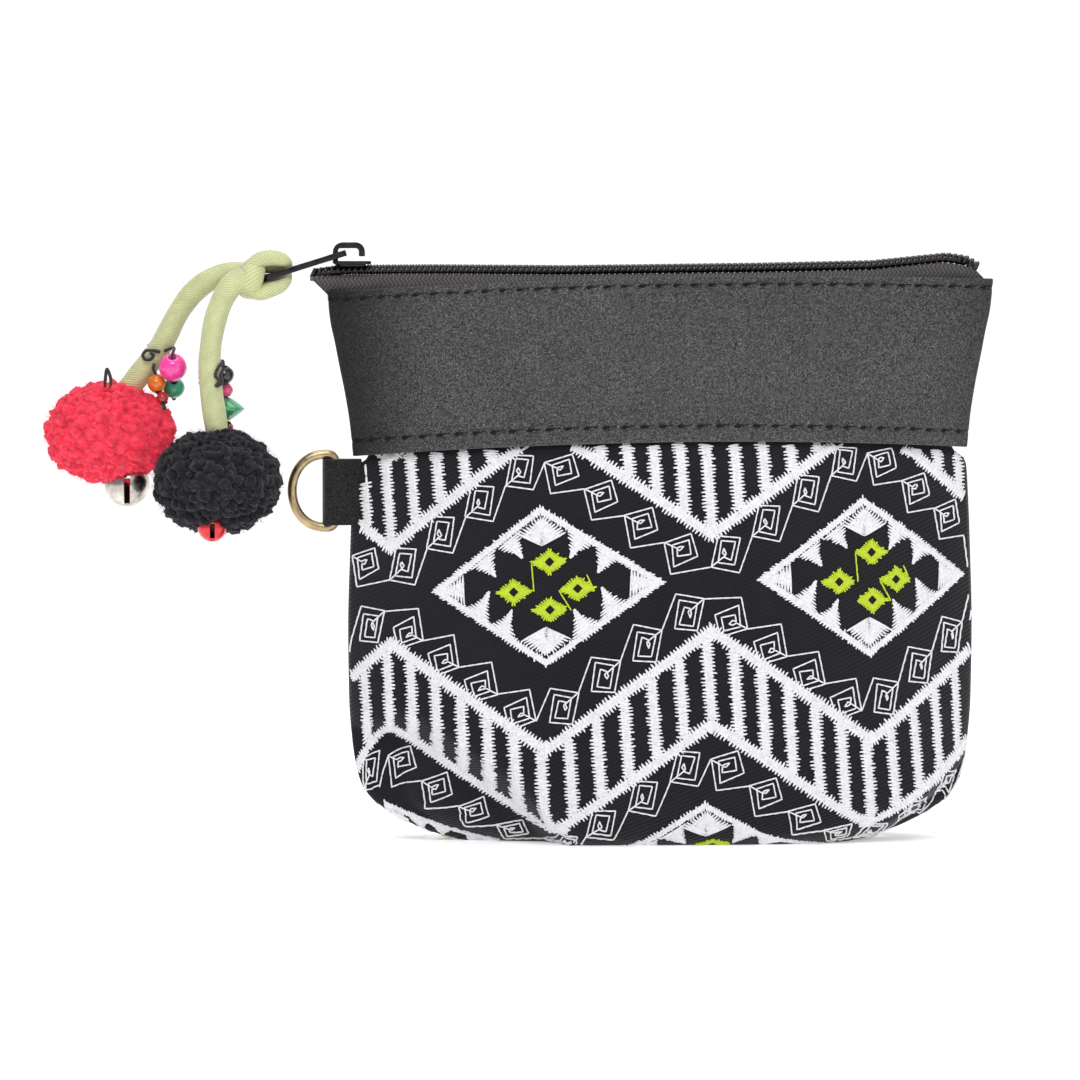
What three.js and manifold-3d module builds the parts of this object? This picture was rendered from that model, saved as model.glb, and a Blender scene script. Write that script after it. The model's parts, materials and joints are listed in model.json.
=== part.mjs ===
// Zip coin purse: embroidered cloth body, leather band, coil zip, D-ring and a pompom charm.
// Millimetres, +Z up. The purse stands on its boxed bottom, centred on the origin, front towards -Y.

import * as THREE from 'three';
import { mergeVertices } from 'three/addons/utils/BufferGeometryUtils.js';
import Module from 'manifold-3d';

const wasm = await Module();
wasm.setup();

// Driving sizes
const GAP = 0.3;
const CLOTH_WALL = 1.2;
const LEATHER_WALL = 1.3;
const TAPE_WALL = 1.0;
const SEAM_SEGMENTS = 18;
const TOP_HALF_WIDTH = 70;
const TOP_EDGE_HEIGHT = 117;
const BAND_EDGE_HEIGHT = 81.4;
const BAND_ARCH = 3.4;
const TOP_ARCH = 1.8;
const LEFT_SLUMP = 1.3;
const LIFT_HEIGHT = 82;
const MOST_SUNK = 0.8;
const FOLD_FADE = 1.3;
const SEAM_MITRE = { extra: 0.9, bluntPower: 0.5, powerRange: 0.42 };

const CHAIN_HALF_WIDTH = 2.0;
const CHAIN_HALF_HEIGHT = 0.85;
const CHAIN_OUTLINE = { halfWidth: 2.04, halfHeight: 0.92, sides: 8, steps: 24 };
const CHAIN_FORK = { left: -76, right: -66.8, half: 0.95, low: 115, high: 125 };
const CORD_RADIUS = 2.4;
const THREAD_RADIUS = 0.4;
const BEAD_HOLE_RADIUS = 0.85;

const RING_BAR = { x: -68.7, z: 73.8 };
const RING_WIRE_RADIUS = 1.0;
const RING_HALF_HEIGHT = 7.7;
const RING_REACH = 9.0;
const RING_CORNER = 1.6;
const RING_BOW = { steps: 15, power: 0.82 };
const TAB = { tail: -60.5, fold: -71.35, foldHeight: 12.4, tailHeight: 14.1, bore: 1.35, thick: 1.5 };
const TAB_SLIT = { half: 1.9, past: 1 };

const SLIDER = { left: -68.9, right: -61.1, z: 120.3, plate: 0.65, halfWidth: 4.0, bridgeWidth: 2.4 };
const SLIDER_BASE_HALF_WIDTH = 2.2;
const SLIDER_LIP = { inset: 1.1, thickness: 0.55, ends: 1.4, low: 0.75 };
const SLIDER_NECK = { left: 0.35, right: 1.75, half: 0.6 };
const SLIDER_OVERLAP = 0.2;
const HOOK = { free: 123.1, freeLeft: 2.5, freeRight: 1.25, footLeft: -0.2, footRight: 0.9 };
const PULLER = { x: -66.3, z: 123.85, tilt: 17.3, length: 18.5, thickness: 1.2 };
const PULLER_EYE = [[1.15, -1.55], [3.5, -1.55], [3.5, 1.55], [1.15, 1.55]];
const PULLER_SLOT = { from: 12.6, to: 14.2, radius: 1.75 };

// A short table: column names, then one row for each section, fold or point
function table(columns, rows) {
  return rows.map((row) => Object.fromEntries(columns.map((name, i) => [name, row[i]])));
}

// Wall sections, from the base up. fullness and endPower shape the outline: a box at the base,
// a lens with pinched side seams higher up, and blunt ends where the zip holds the panels apart.
const WALL_COLUMNS = ['height', 'halfWidth', 'halfDepth', 'fullness', 'endPower'];
const CLOTH_SECTIONS = table(WALL_COLUMNS, [
  [0, 42, 14.5, 3.6, 0.45],
  [1.3, 47, 16.6, 3.5, 0.46],
  [3.2, 52, 18, 3.4, 0.48],
  [6, 57.2, 19.2, 3.2, 0.52],
  [9, 61.2, 20.2, 3.0, 0.57],
  [13, 63.6, 21, 2.8, 0.63],
  [20, 65, 21.6, 2.55, 0.72],
  [30, 65.8, 22, 2.35, 0.82],
  [45, 66, 22, 2.25, 0.9],
  [60, 65.6, 21.7, 2.2, 0.92],
  [72, 65.1, 20.8, 2.15, 0.92],
  [78.6, 64.6, 19.9, 2.1, 0.92],
  [81.4, 61.4, 18.2, 2.1, 0.92],
  [88, 62, 16.8, 2.1, 0.88],
]);
const LEATHER_SECTIONS = table(WALL_COLUMNS, [
  [BAND_EDGE_HEIGHT, 65, 20, 2.1, 0.92],
  [88.6, 65.7, 18.4, 2.1, 0.88],
  [95, 66.7, 15.9, 2.15, 0.8],
  [101.2, 67.9, 13, 2.25, 0.7],
  [106, 68.8, 10.8, 2.4, 0.62],
  [111, 69.8, 8.6, 2.6, 0.54],
  [TOP_EDGE_HEIGHT, 70.4, 6.9, 2.8, 0.5],
]);

// Folds on the front: below the line from (x0, z0) to (x1, z1) the cloth sinks in and turns under
const FRONT_FOLDS = table(['x0', 'z0', 'x1', 'z1', 'reach', 'depth'], [
  [-68, 27, -21, 0, 7, 6],
  [68, 19, 46, 1, 5, 2],
]);

// Zip chain's route: x and height of its middle
const CHAIN_ROUTE = table(['x', 'z'], [
  [-73.3, 119.6], [-69.5, 120.1], [-66, 120.3], [-48, 120.4], [-21, 120.2], [21, 120.7],
  [44, 121.2], [59.6, 122.8], [64, 122.2], [66.2, 120.9],
]);
const TAPE_STATIONS = [-73, -70, -67.4, -65.6, -63.8, -60, -52, -36, -12, 12, 36, 52, 60, 63.8, 65.4];
const TAPE = {
  flapEnd: 64, flapHeight: 111.5, leastDepth: 0.75, overRim: 0.1, endLow: 0.5, endHigh: 1.2,
  leastShoulder: 3.25, mostShoulder: 3.6, shoulderLow: 1.7, shoulderHigh: 0.9, chainSide: 0.35, chainDrop: 0.3,
};

// Charm cord: two legs, and the lark's head between them
const CORD_COLUMNS = ['x', 'y', 'z'];
const RED_LEG = table(CORD_COLUMNS, [
  [-90.1, 2.4, 119.4], [-92.5, 2.6, 119], [-95.6, 3, 117.7], [-98.2, 3.4, 115.6], [-100.4, 3.8, 112.9],
  [-102.1, 4.1, 110.2], [-103.6, 4.4, 107.2], [-105.1, 4.8, 104.4], [-107, 5.2, 101.5], [-109.5, 5.7, 98.4],
  [-112.2, 6.1, 95],
]);
const BLACK_LEG = table(CORD_COLUMNS, [
  [-90.9, -2.6, 116.4], [-92, -2.8, 114.6], [-93.2, -3.2, 111.8], [-94.1, -3.7, 108.5], [-94.7, -4.2, 105],
  [-95, -4.6, 101.4], [-94.9, -5, 97.8], [-94.6, -5.4, 94.2], [-94.1, -5.9, 90.6], [-93.5, -6.3, 86.4],
]);
const KNOT_BAND = { x: -87.2, z: 118.2, along: 2.4, across: 4.4, tall: 4.0, tilt: 20 };
const KNOT_STRAND = table(['x', 'y', 'z', 'radius'], [
  [-86.6, 1.9, 120.4, 1.8], [-84.6, 1.9, 122.3, 1.8], [-82, 1.8, 122.8, 1.8], [-79.6, 1.4, 122.3, 1.6],
  [-78.6, 0.7, 121.3, 1.2], [-78.6, 0.5, 120, 0.85], [-78.7, 0.7, 118.6, 1.2], [-79.8, 1.4, 117.2, 1.6],
  [-82, 1.8, 116.2, 1.8], [-84.6, 1.9, 115.5, 1.8], [-86.6, 1.9, 116.2, 1.8],
]);

// Pompoms: ellipsoids of cut wool, with a socket for the leg and one for the bell
const POMPOMS = table(['name', 'x', 'y', 'z', 'halfWidth', 'halfDepth', 'halfHeight', 'colour'], [
  ['pompom_red', -115.9, 6.5, 85.8, 14, 13.5, 10.9, 0xe8364a],
  ['pompom_black', -93.5, -6.5, 76.1, 13.7, 13.5, 11.2, 0x2a292e],
]);
const LOCK_COUNT = 28;
const LOCK = { tip: 2.4, root: 3.3, length: 5, sides: 5, outside: 0.4 };

// Beads: middle, radius, half length along the hole, hole direction and shape
const BEAD_COLUMNS = ['name', 'x', 'y', 'z', 'radius', 'half', 'ax', 'ay', 'az', 'shape', 'colour'];
const RED_LEG_BEADS = table(BEAD_COLUMNS, [
  ['bead_pink', -102.7, -0.3, 99.8, 2.95, 2.8, 0.05, 0.6, -0.8, 'round', 0xf2589f],
  ['bead_green', -102.5, 4.6, 95.4, 2.3, 2.0, 0, 0.7, -0.7, 'round', 0x3fae7e],
  ['bead_amber', -106.1, 1.7, 96.4, 1.95, 1.8, 0.1, -0.2, -1, 'round', 0xd9852a],
  ['bead_red', -104.9, 0.6, 93.3, 1.3, 1.1, 0.2, -0.5, -1, 'round', 0xb8202c],
]);
const BLACK_LEG_BEADS = table(BEAD_COLUMNS, [
  ['bead_black', -91.9, 0.2, 98.2, 2.05, 1.8, 0.1, 0.3, -0.95, 'round', 0x1c1b20],
  ['bead_rose', -91.5, 1.6, 94.95, 1.45, 1.2, 0.05, 0.1, -1, 'round', 0xe0608c],
  ['bead_bicone', -92.2, 2.1, 91, 4.6, 2.4, 0, 0, -1, 'bicone', 0x2f9e62],
  ['bead_coral', -91.2, 2.2, 87.1, 1.2, 1, 0.2, 0.7, -0.65, 'round', 0xc8323c],
]);
const BEAD_SIDES = 10;
const BEAD_RIM = 0.12;
const BEAD_ROUNDNESS = 0.92;
const BICONE_TAPER = 0.62;
const END_KNOT = { radius: 0.95, past: 1, pastBead: 0.25 };
const TIE = { inner: CORD_RADIUS + GAP, outer: 3.5, half: 1.6 };
const RED_TIE = { x: -106.35, y: 5.06, z: 102.5, ax: -1.9, ay: 0.4, az: -2.9 };
const BLACK_TIE = { x: -94.93, y: -4.92, z: 98.6, ax: 0.1, ay: -0.4, az: -3.6 };

// Jingle bells: hollow, with one slot through the lower half
const BELLS = table(['name', 'x', 'y', 'z', 'radius', 'slot', 'colour', 'metalness'], [
  ['bell_silver', -112.4, 4, 75.1, 4.75, 1.2, 0xd8d4cc, 1],
  ['bell_red', -94.6, -11.9, 66.8, 3.1, 1.0, 0xc41f2a, 0.6],
]);
const BELL_WALL = 0.7;

// Geometry helpers

// One closed body from loops of equal length: walls between them and a strip cap on each end.
// Point i of an end loop is capped to point foldSum - i, so foldSum says where the loop folds over.
function loft(loops, foldSum) {
  const count = loops[0].length;
  const positions = loops.flat().flatMap((p) => [p.x, p.y, p.z]);
  const index = [];
  for (let ring = 0; ring + 1 < loops.length; ring += 1) {
    for (let i = 0; i < count; i += 1) {
      const a = ring * count + i;
      const b = ring * count + ((i + 1) % count);
      index.push(a, b, b + count, a, b + count, a + count);
    }
  }
  const partner = (i) => (foldSum - i + count) % count;
  const last = (loops.length - 1) * count;
  for (let i = 0; 2 * (i + 1) <= foldSum; i += 1) {
    const quad = [i, i + 1, partner(i + 1), partner(i)];
    for (const [p, q, r] of [[0, 2, 1], [0, 3, 2]]) {
      const corners = [quad[p], quad[q], quad[r]];
      if (new Set(corners).size === 3) {
        index.push(...corners);
        index.push(last + corners[0], last + corners[2], last + corners[1]);
      }
    }
  }
  const geometry = new THREE.BufferGeometry();
  geometry.setAttribute('position', new THREE.Float32BufferAttribute(positions, 3));
  geometry.setIndex(index);
  return facingOut(geometry);
}

// Turn every triangle round if the body's signed volume is negative
function facingOut(geometry) {
  const p = geometry.attributes.position;
  const index = geometry.index.array;
  const corner = [new THREE.Vector3(), new THREE.Vector3(), new THREE.Vector3()];
  let volume = 0;
  for (let i = 0; i < index.length; i += 3) {
    corner.forEach((v, k) => v.fromBufferAttribute(p, index[i + k]));
    volume += corner[0].dot(corner[1].cross(corner[2]));
  }
  if (volume < 0) {
    for (let i = 0; i < index.length; i += 3) {
      [index[i + 1], index[i + 2]] = [index[i + 2], index[i + 1]];
    }
  }
  return geometry;
}

function bare(geometry) {
  const copy = geometry.clone();
  copy.deleteAttribute('normal');
  copy.deleteAttribute('uv');
  return mergeVertices(copy, 1e-4);
}

function solid(geometry) {
  const merged = bare(geometry);
  return new wasm.Manifold(new wasm.Mesh({
    numProp: 3,
    vertProperties: new Float32Array(merged.attributes.position.array),
    triVerts: new Uint32Array(merged.index.array),
  }));
}

function geometryOf(body) {
  const mesh = body.getMesh();
  const geometry = new THREE.BufferGeometry();
  geometry.setAttribute('position', new THREE.Float32BufferAttribute(mesh.vertProperties, 3));
  geometry.setIndex(Array.from(mesh.triVerts));
  return geometry;
}

function fused(geometries) {
  return geometries.map(solid).reduce((sum, body) => sum.add(body));
}

function box(x0, x1, y0, y1, z0, z1) {
  const geometry = new THREE.BoxGeometry(x1 - x0, y1 - y0, z1 - z0);
  return geometry.translate((x0 + x1) / 2, (y0 + y1) / 2, (z0 + z1) / 2);
}

function vectors(rows) {
  return rows.map((row) => new THREE.Vector3(row.x, row.y ?? 0, row.z));
}

function polygon(sides, halfWidth, halfHeight) {
  const points = [];
  for (let i = 0; i < sides; i += 1) {
    const turn = (2 * Math.PI * (i + 0.5)) / sides;
    points.push(new THREE.Vector2(halfWidth * Math.cos(turn), halfHeight * Math.sin(turn)));
  }
  return new THREE.Shape(points);
}

function tube(points, shape, steps) {
  const extrudePath = new THREE.CatmullRomCurve3(points, false, 'centripetal');
  return bare(new THREE.ExtrudeGeometry(shape, { steps, extrudePath }));
}

// A tube whose radius changes along its route
function taperedTube(rows, sides) {
  const curve = new THREE.CatmullRomCurve3(vectors(rows), false, 'centripetal');
  const frames = curve.computeFrenetFrames(rows.length - 1, false);
  const rings = rows.map((row, k) => {
    const ring = [];
    for (let i = 0; i < sides; i += 1) {
      const turn = (2 * Math.PI * i) / sides;
      const point = new THREE.Vector3(row.x, row.y, row.z);
      point.addScaledVector(frames.normals[k], row.radius * Math.cos(turn));
      ring.push(point.addScaledVector(frames.binormals[k], row.radius * Math.sin(turn)));
    }
    return ring;
  });
  return loft(rings, sides);
}

// A closed ring of round wire along a loop of points in the XZ plane
function wireRing(points, radius, sides) {
  const count = points.length;
  const positions = [];
  points.forEach((p, k) => {
    const ahead = points[(k + 1) % count];
    const behind = points[(k + count - 1) % count];
    const out = new THREE.Vector3(ahead.z - behind.z, 0, behind.x - ahead.x).normalize();
    for (let i = 0; i < sides; i += 1) {
      const turn = (2 * Math.PI * i) / sides;
      const reach = radius * Math.cos(turn);
      positions.push(p.x + out.x * reach, p.y + radius * Math.sin(turn), p.z + out.z * reach);
    }
  });
  const index = [];
  for (let k = 0; k < count; k += 1) {
    for (let i = 0; i < sides; i += 1) {
      const a = k * sides + i;
      const b = k * sides + ((i + 1) % sides);
      const c = ((k + 1) % count) * sides + ((i + 1) % sides);
      const d = ((k + 1) % count) * sides + i;
      index.push(a, b, c, a, c, d);
    }
  }
  const geometry = new THREE.BufferGeometry();
  geometry.setAttribute('position', new THREE.Float32BufferAttribute(positions, 3));
  geometry.setIndex(index);
  return facingOut(geometry);
}

// Turn a lathe shape's Y axis to a direction and move its middle to a place
function aimed(geometry, row) {
  const direction = new THREE.Vector3(row.ax, row.ay, row.az).normalize();
  const turn = new THREE.Quaternion().setFromUnitVectors(new THREE.Vector3(0, 1, 0), direction);
  return geometry.applyQuaternion(turn).translate(row.x, row.y, row.z);
}

function smooth(value) {
  const t = Math.min(1, Math.max(0, value));
  return t * t * (3 - 2 * t);
}

// Purse wall

// The top edge arches in the middle, and the left end has slumped
function lift(x, height) {
  const across = x / TOP_HALF_WIDTH;
  const slump = LEFT_SLUMP * (height / TOP_EDGE_HEIGHT) * across;
  const up = Math.min(1, Math.max(0, (height - BAND_EDGE_HEIGHT) / (TOP_EDGE_HEIGHT - BAND_EDGE_HEIGHT)));
  const arch = BAND_ARCH + (TOP_ARCH - BAND_ARCH) * up;
  return smooth(height / LIFT_HEIGHT) * (arch * (1 - across * across) + slump);
}

function frontFold(x, z) {
  let sunk = 0;
  for (const fold of FRONT_FOLDS) {
    const along = (x - fold.x0) / (fold.x1 - fold.x0);
    const below = fold.z0 + along * (fold.z1 - fold.z0) - z;
    const fade = smooth(FOLD_FADE * (1 - along));
    sunk += along < 1 ? fold.depth * fade * smooth(below / fold.reach) : 0;
  }
  return sunk;
}

// A pinched seam needs more inset along the width than a blunt end
function seamMitre(section) {
  const pinch = (section.endPower - SEAM_MITRE.bluntPower) / SEAM_MITRE.powerRange;
  return 1 + SEAM_MITRE.extra * smooth(pinch);
}

function depthAt(section, x, inset) {
  const halfWidth = section.halfWidth - inset * seamMitre(section);
  const across = Math.min(1, Math.abs(x) / halfWidth);
  return (section.halfDepth - inset) * (1 - across ** section.fullness) ** section.endPower;
}

function mixSections(sections, height) {
  const upper = Math.max(1, sections.findIndex((s) => s.height >= height));
  const [low, high] = [sections[upper - 1], sections[upper]];
  const t = (height - low.height) / (high.height - low.height);
  return Object.fromEntries(WALL_COLUMNS.map((key) => [key, low[key] + t * (high[key] - low[key])]));
}

// Points of one section from the left seam to the right seam, on the front (-1) or back (+1)
function sectionSide(section, side, inset, height) {
  const points = [];
  const halfWidth = section.halfWidth - inset * seamMitre(section);
  for (let i = 0; i <= SEAM_SEGMENTS; i += 1) {
    const x = halfWidth * Math.sin((Math.PI / 2) * ((2 * i) / SEAM_SEGMENTS - 1));
    const depth = depthAt(section, x, inset);
    const sunk = side < 0 ? Math.min(frontFold(x, height), MOST_SUNK * depth) : 0;
    points.push(new THREE.Vector3(x, side * (depth - sunk), height + lift(x, height)));
  }
  return points;
}

function clothBody() {
  const top = CLOTH_SECTIONS.at(-1).height;
  const ring = (section, inset) => {
    const height = section.height + inset * (1 - section.height / top);
    const front = sectionSide(section, -1, inset, height);
    const back = sectionSide(section, 1, inset, height).slice(1, -1).reverse();
    return [...front, ...back];
  };
  const outer = CLOTH_SECTIONS.map((section) => ring(section, 0));
  const inner = CLOTH_SECTIONS.map((section) => ring(section, CLOTH_WALL)).reverse();
  const shell = loft([...outer, ...inner], 2 * SEAM_SEGMENTS);
  const half = TAB.tailHeight / 2 + GAP;
  const [end, deep] = [TAB.tail + TAB_SLIT.past, TAB_SLIT.half];
  const slit = box(TAB.fold, end, -deep, deep, RING_BAR.z - half, RING_BAR.z + half);
  return geometryOf(solid(shell).subtract(solid(slit)));
}

function leatherPanel(side) {
  const seam = GAP / 2;
  const row = (section, inset) => sectionSide(section, side, inset, section.height);
  const outer = LEATHER_SECTIONS.map((section) => row(section, 0));
  const inner = LEATHER_SECTIONS.map((section) => row(section, LEATHER_WALL)).reverse();
  const rows = [...outer, ...inner];
  const loops = outer[0].map((_, i) => rows.map((points) => points[i]));
  const geometry = loft(loops, rows.length - 1);
  return geometry.translate(0, side * seam, 0);
}

// Zip

function chainHeight(x) {
  const after = Math.max(1, CHAIN_ROUTE.findIndex((p) => p.x >= x));
  const [a, b] = [CHAIN_ROUTE[after - 1], CHAIN_ROUTE[after]];
  return a.z + ((x - a.x) / (b.x - a.x)) * (b.z - a.z);
}

// A strip of even thickness round a run of (y, z) points: out along one face, back along the other
function ribbon(points, x, thickness) {
  const faces = [1, -1].map((face) => points.map((p, i) => {
    const ahead = points[Math.min(i + 1, points.length - 1)];
    const behind = points[Math.max(i - 1, 0)];
    const along = new THREE.Vector2(ahead[0] - behind[0], ahead[1] - behind[1]).normalize();
    const reach = (face * thickness) / 2;
    return new THREE.Vector3(x, p[0] - along.y * reach, p[1] + along.x * reach);
  }));
  return [...faces[0], ...faces[1].reverse()];
}

// From a flap behind the leather, over its edge, up to the side of the chain
function zipTape(side) {
  const flap = mixSections(LEATHER_SECTIONS, TAPE.flapHeight);
  const edge = LEATHER_SECTIONS.at(-1);
  const clear = LEATHER_WALL + GAP + TAPE_WALL / 2;
  const loops = TAPE_STATIONS.map((x) => {
    const inside = Math.abs(x) <= TAPE.flapEnd;
    const chain = chainHeight(x);
    const rim = edge.height + lift(x, edge.height);
    const flapDepth = Math.max(TAPE.leastDepth, depthAt(flap, x, clear));
    const edgeDepth = Math.max(TAPE.leastDepth, depthAt(edge, x, clear));
    const shoulder = Math.max(TAPE.leastShoulder, Math.min(TAPE.mostShoulder, edgeDepth));
    const run = [
      [flapDepth, inside ? flap.height + lift(x, flap.height) : rim + TAPE.endLow],
      [edgeDepth, rim + (inside ? TAPE.overRim : TAPE.endHigh)],
      [shoulder, chain - TAPE.shoulderLow],
      [shoulder, chain - TAPE.shoulderHigh],
      [CHAIN_HALF_WIDTH + TAPE.chainSide, chain - TAPE.chainDrop],
    ];
    return ribbon(run, x, TAPE_WALL);
  });
  const geometry = loft(loops, loops[0].length - 1);
  return side < 0 ? facingOut(geometry.scale(1, -1, 1)) : geometry;
}

// The coil closes right of the slider and runs as two halves left of it
function zipChain() {
  const shape = polygon(CHAIN_OUTLINE.sides, CHAIN_OUTLINE.halfWidth, CHAIN_OUTLINE.halfHeight);
  const bar = tube(vectors(CHAIN_ROUTE), shape, CHAIN_OUTLINE.steps);
  const { left, right, half, low, high } = CHAIN_FORK;
  const fork = box(left, right, -half, half, low, high);
  return geometryOf(solid(bar).subtract(solid(fork)));
}

function extruded(points, depth) {
  const shape = new THREE.Shape(points.map((p) => new THREE.Vector2(...p)));
  return new THREE.ExtrudeGeometry(shape, { depth, bevelEnabled: false });
}

// Outline in the XZ plane, given thickness along Y about y = 0
function sideProfile(points, width) {
  return extruded(points, width).rotateX(Math.PI / 2).translate(0, width / 2, 0);
}

function arc(cx, cz, radius, from, to, steps) {
  const points = [];
  for (let i = 0; i <= steps; i += 1) {
    const turn = THREE.MathUtils.degToRad(from + ((to - from) * i) / steps);
    points.push([cx + radius * Math.cos(turn), cz + radius * Math.sin(turn)]);
  }
  return points;
}

function zipSlider() {
  const { left, right, z, plate, halfWidth, bridgeWidth } = SLIDER;
  const roof = z + CHAIN_HALF_HEIGHT + GAP;
  const floor = z - CHAIN_HALF_HEIGHT - GAP;
  const shield = (half) => {
    const nose = half * 0.8;
    return [[left, -nose], [left + 1.2, -half], [right - 1, -half * 0.86], [right, -half * 0.6],
      [right, half * 0.6], [right - 1, half * 0.86], [left + 1.2, half], [left, nose]];
  };
  const topPlate = extruded(shield(halfWidth), plate).translate(0, 0, roof);
  const basePlate = extruded(shield(SLIDER_BASE_HALF_WIDTH), plate).translate(0, 0, floor - plate);
  const lips = [-1, 1].map((side) => {
    const near = side * (halfWidth - SLIDER_LIP.inset);
    const far = near + side * SLIDER_LIP.thickness;
    const [y0, y1] = near < far ? [near, far] : [far, near];
    const [x0, x1] = [left + SLIDER_LIP.ends, right - SLIDER_LIP.ends];
    return box(x0, x1, y0, y1, z + SLIDER_LIP.low, roof + SLIDER_OVERLAP);
  });
  const neck = box(
    left + SLIDER_NECK.left, left + SLIDER_NECK.right, -SLIDER_NECK.half, SLIDER_NECK.half,
    floor - SLIDER_OVERLAP, roof + SLIDER_OVERLAP,
  );
  const outer = [...arc(left + 1.9, 123.95, 2.1, 180, 90, 5), ...arc(right - 3.2, 124.1, 1.95, 90, 0, 5)];
  const inner = [...arc(right - 3.2, 124.1, 0.7, 0, 90, 3), ...arc(left + 1.4, 124.3, 0.5, 90, 180, 3)];
  const foot = roof + SLIDER_OVERLAP;
  const hook = [[left + HOOK.footLeft, foot], ...outer, [right - HOOK.freeRight, HOOK.free],
    [right - HOOK.freeLeft, HOOK.free], ...inner, [left + HOOK.footRight, foot]];
  const bridge = sideProfile(hook, bridgeWidth);
  return geometryOf(fused([topPlate, basePlate, ...lips, neck, bridge]));
}

// Flat puller: an eye on the bridge, a slot near the far end for the cord
function zipPuller() {
  const { length, thickness } = PULLER;
  const shape = new THREE.Shape();
  shape.moveTo(0, -1.7);
  shape.quadraticCurveTo(0, -2.3, 0.8, -2.4);
  shape.lineTo(3.6, -2.4);
  shape.quadraticCurveTo(5.2, -1.6, 7, -1.8);
  shape.quadraticCurveTo(9.5, -2.9, 12, -3);
  shape.lineTo(length - 2.4, -3);
  shape.quadraticCurveTo(length, -2.8, length, 0);
  shape.quadraticCurveTo(length, 2.8, length - 2.4, 3);
  shape.lineTo(12, 3);
  shape.quadraticCurveTo(9.5, 2.9, 7, 1.8);
  shape.quadraticCurveTo(5.2, 1.6, 3.6, 2.4);
  shape.lineTo(0.8, 2.4);
  shape.quadraticCurveTo(0, 2.3, 0, 1.7);
  const { from, to, radius } = PULLER_SLOT;
  const slot = [...arc(from, 0, radius, 90, 270, 4), ...arc(to, 0, radius, -90, 90, 4)];
  shape.holes = [PULLER_EYE, slot].map((loop) => new THREE.Path(loop.map((p) => new THREE.Vector2(...p))));
  const plate = new THREE.ExtrudeGeometry(shape, { depth: thickness, bevelEnabled: false, curveSegments: 3 });
  plate.translate(0, 0, -thickness / 2).rotateZ(Math.PI);
  plate.rotateY(THREE.MathUtils.degToRad(-PULLER.tilt));
  return plate.translate(PULLER.x, 0, PULLER.z);
}

// Ring and tab

function dRing() {
  const points = [];
  const half = RING_HALF_HEIGHT;
  for (let i = 0; i <= 4; i += 1) {
    points.push({ x: RING_BAR.x, y: 0, z: RING_BAR.z + (half - RING_CORNER) * (i / 2 - 1) });
  }
  for (let i = 0; i <= RING_BOW.steps; i += 1) {
    const turn = (Math.PI * i) / RING_BOW.steps;
    const away = RING_REACH * Math.sin(turn) ** RING_BOW.power;
    points.push({ x: RING_BAR.x - away, y: 0, z: RING_BAR.z + half * Math.cos(turn) });
  }
  return wireRing(points, RING_WIRE_RADIUS, 8);
}

// Leather folded round the ring's bar and run into the side seam
function ringTab() {
  const fold = RING_BAR.x - TAB.fold;
  const tail = TAB.tail - RING_BAR.x;
  const { thick } = TAB;
  const shape = new THREE.Shape([
    ...arc(0, 0, fold, 40, 320, 12),
    [fold + 1.6, -thick - 0.1], [tail, -thick], [tail, thick], [fold + 1.6, thick + 0.1],
  ].map((p) => new THREE.Vector2(...p)));
  shape.holes = [new THREE.Path(arc(0, 0, TAB.bore, 0, 324, 9).map((p) => new THREE.Vector2(...p)))];
  const fan = new THREE.ExtrudeGeometry(shape, { depth: TAB.tailHeight, bevelEnabled: false });
  fan.translate(RING_BAR.x, 0, RING_BAR.z - TAB.tailHeight / 2);
  const [low, high] = [TAB.foldHeight / 2, TAB.tailHeight / 2 + 0.05];
  const trim = sideProfile([
    [TAB.fold - 1, RING_BAR.z - low], [RING_BAR.x + 1, RING_BAR.z - low], [TAB.tail + 1, RING_BAR.z - high],
    [TAB.tail + 1, RING_BAR.z + high], [RING_BAR.x + 1, RING_BAR.z + low], [TAB.fold - 1, RING_BAR.z + low],
  ], 8);
  return geometryOf(solid(fan).intersect(solid(trim)));
}

// Charm

function cordLeg(rows) {
  return tube(vectors(rows), polygon(10, CORD_RADIUS, CORD_RADIUS), rows.length + 1);
}

function knot() {
  const band = new THREE.SphereGeometry(1, 12, 8);
  band.scale(KNOT_BAND.along, KNOT_BAND.across, KNOT_BAND.tall);
  band.rotateY(THREE.MathUtils.degToRad(KNOT_BAND.tilt)).translate(KNOT_BAND.x, 0, KNOT_BAND.z);
  const strand = (side) => taperedTube(KNOT_STRAND.map((row) => ({ ...row, y: side * row.y })), 8);
  return geometryOf(fused([band, strand(1), strand(-1)]));
}

// Core ellipsoid with tufts spread evenly over it
function pompom(row, sockets) {
  const core = new THREE.SphereGeometry(1, 12, 7);
  const reach = LOCK.length * LOCK.outside;
  core.scale(row.halfWidth - reach, row.halfDepth - reach, row.halfHeight - reach);
  let body = solid(core.translate(row.x, row.y, row.z));
  for (let i = 0; i < LOCK_COUNT; i += 1) {
    const z = 1 - (2 * i + 1) / LOCK_COUNT;
    const turn = i * Math.PI * (3 - Math.sqrt(5));
    const flat = Math.sqrt(1 - z * z);
    const out = new THREE.Vector3(flat * Math.cos(turn), flat * Math.sin(turn), z);
    const size = new THREE.Vector3(row.halfWidth, row.halfDepth, row.halfHeight);
    const span = 1 / out.clone().divide(size).length() - LOCK.length / 2;
    const tuft = new THREE.CylinderGeometry(LOCK.tip, LOCK.root, LOCK.length, LOCK.sides);
    const place = { x: row.x + span * out.x, y: row.y + span * out.y, z: row.z + span * out.z };
    body = body.add(solid(aimed(tuft, { ...place, ax: out.x, ay: out.y, az: out.z })));
  }
  return geometryOf(sockets.reduce((left, socket) => left.subtract(solid(socket)), body));
}

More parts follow.
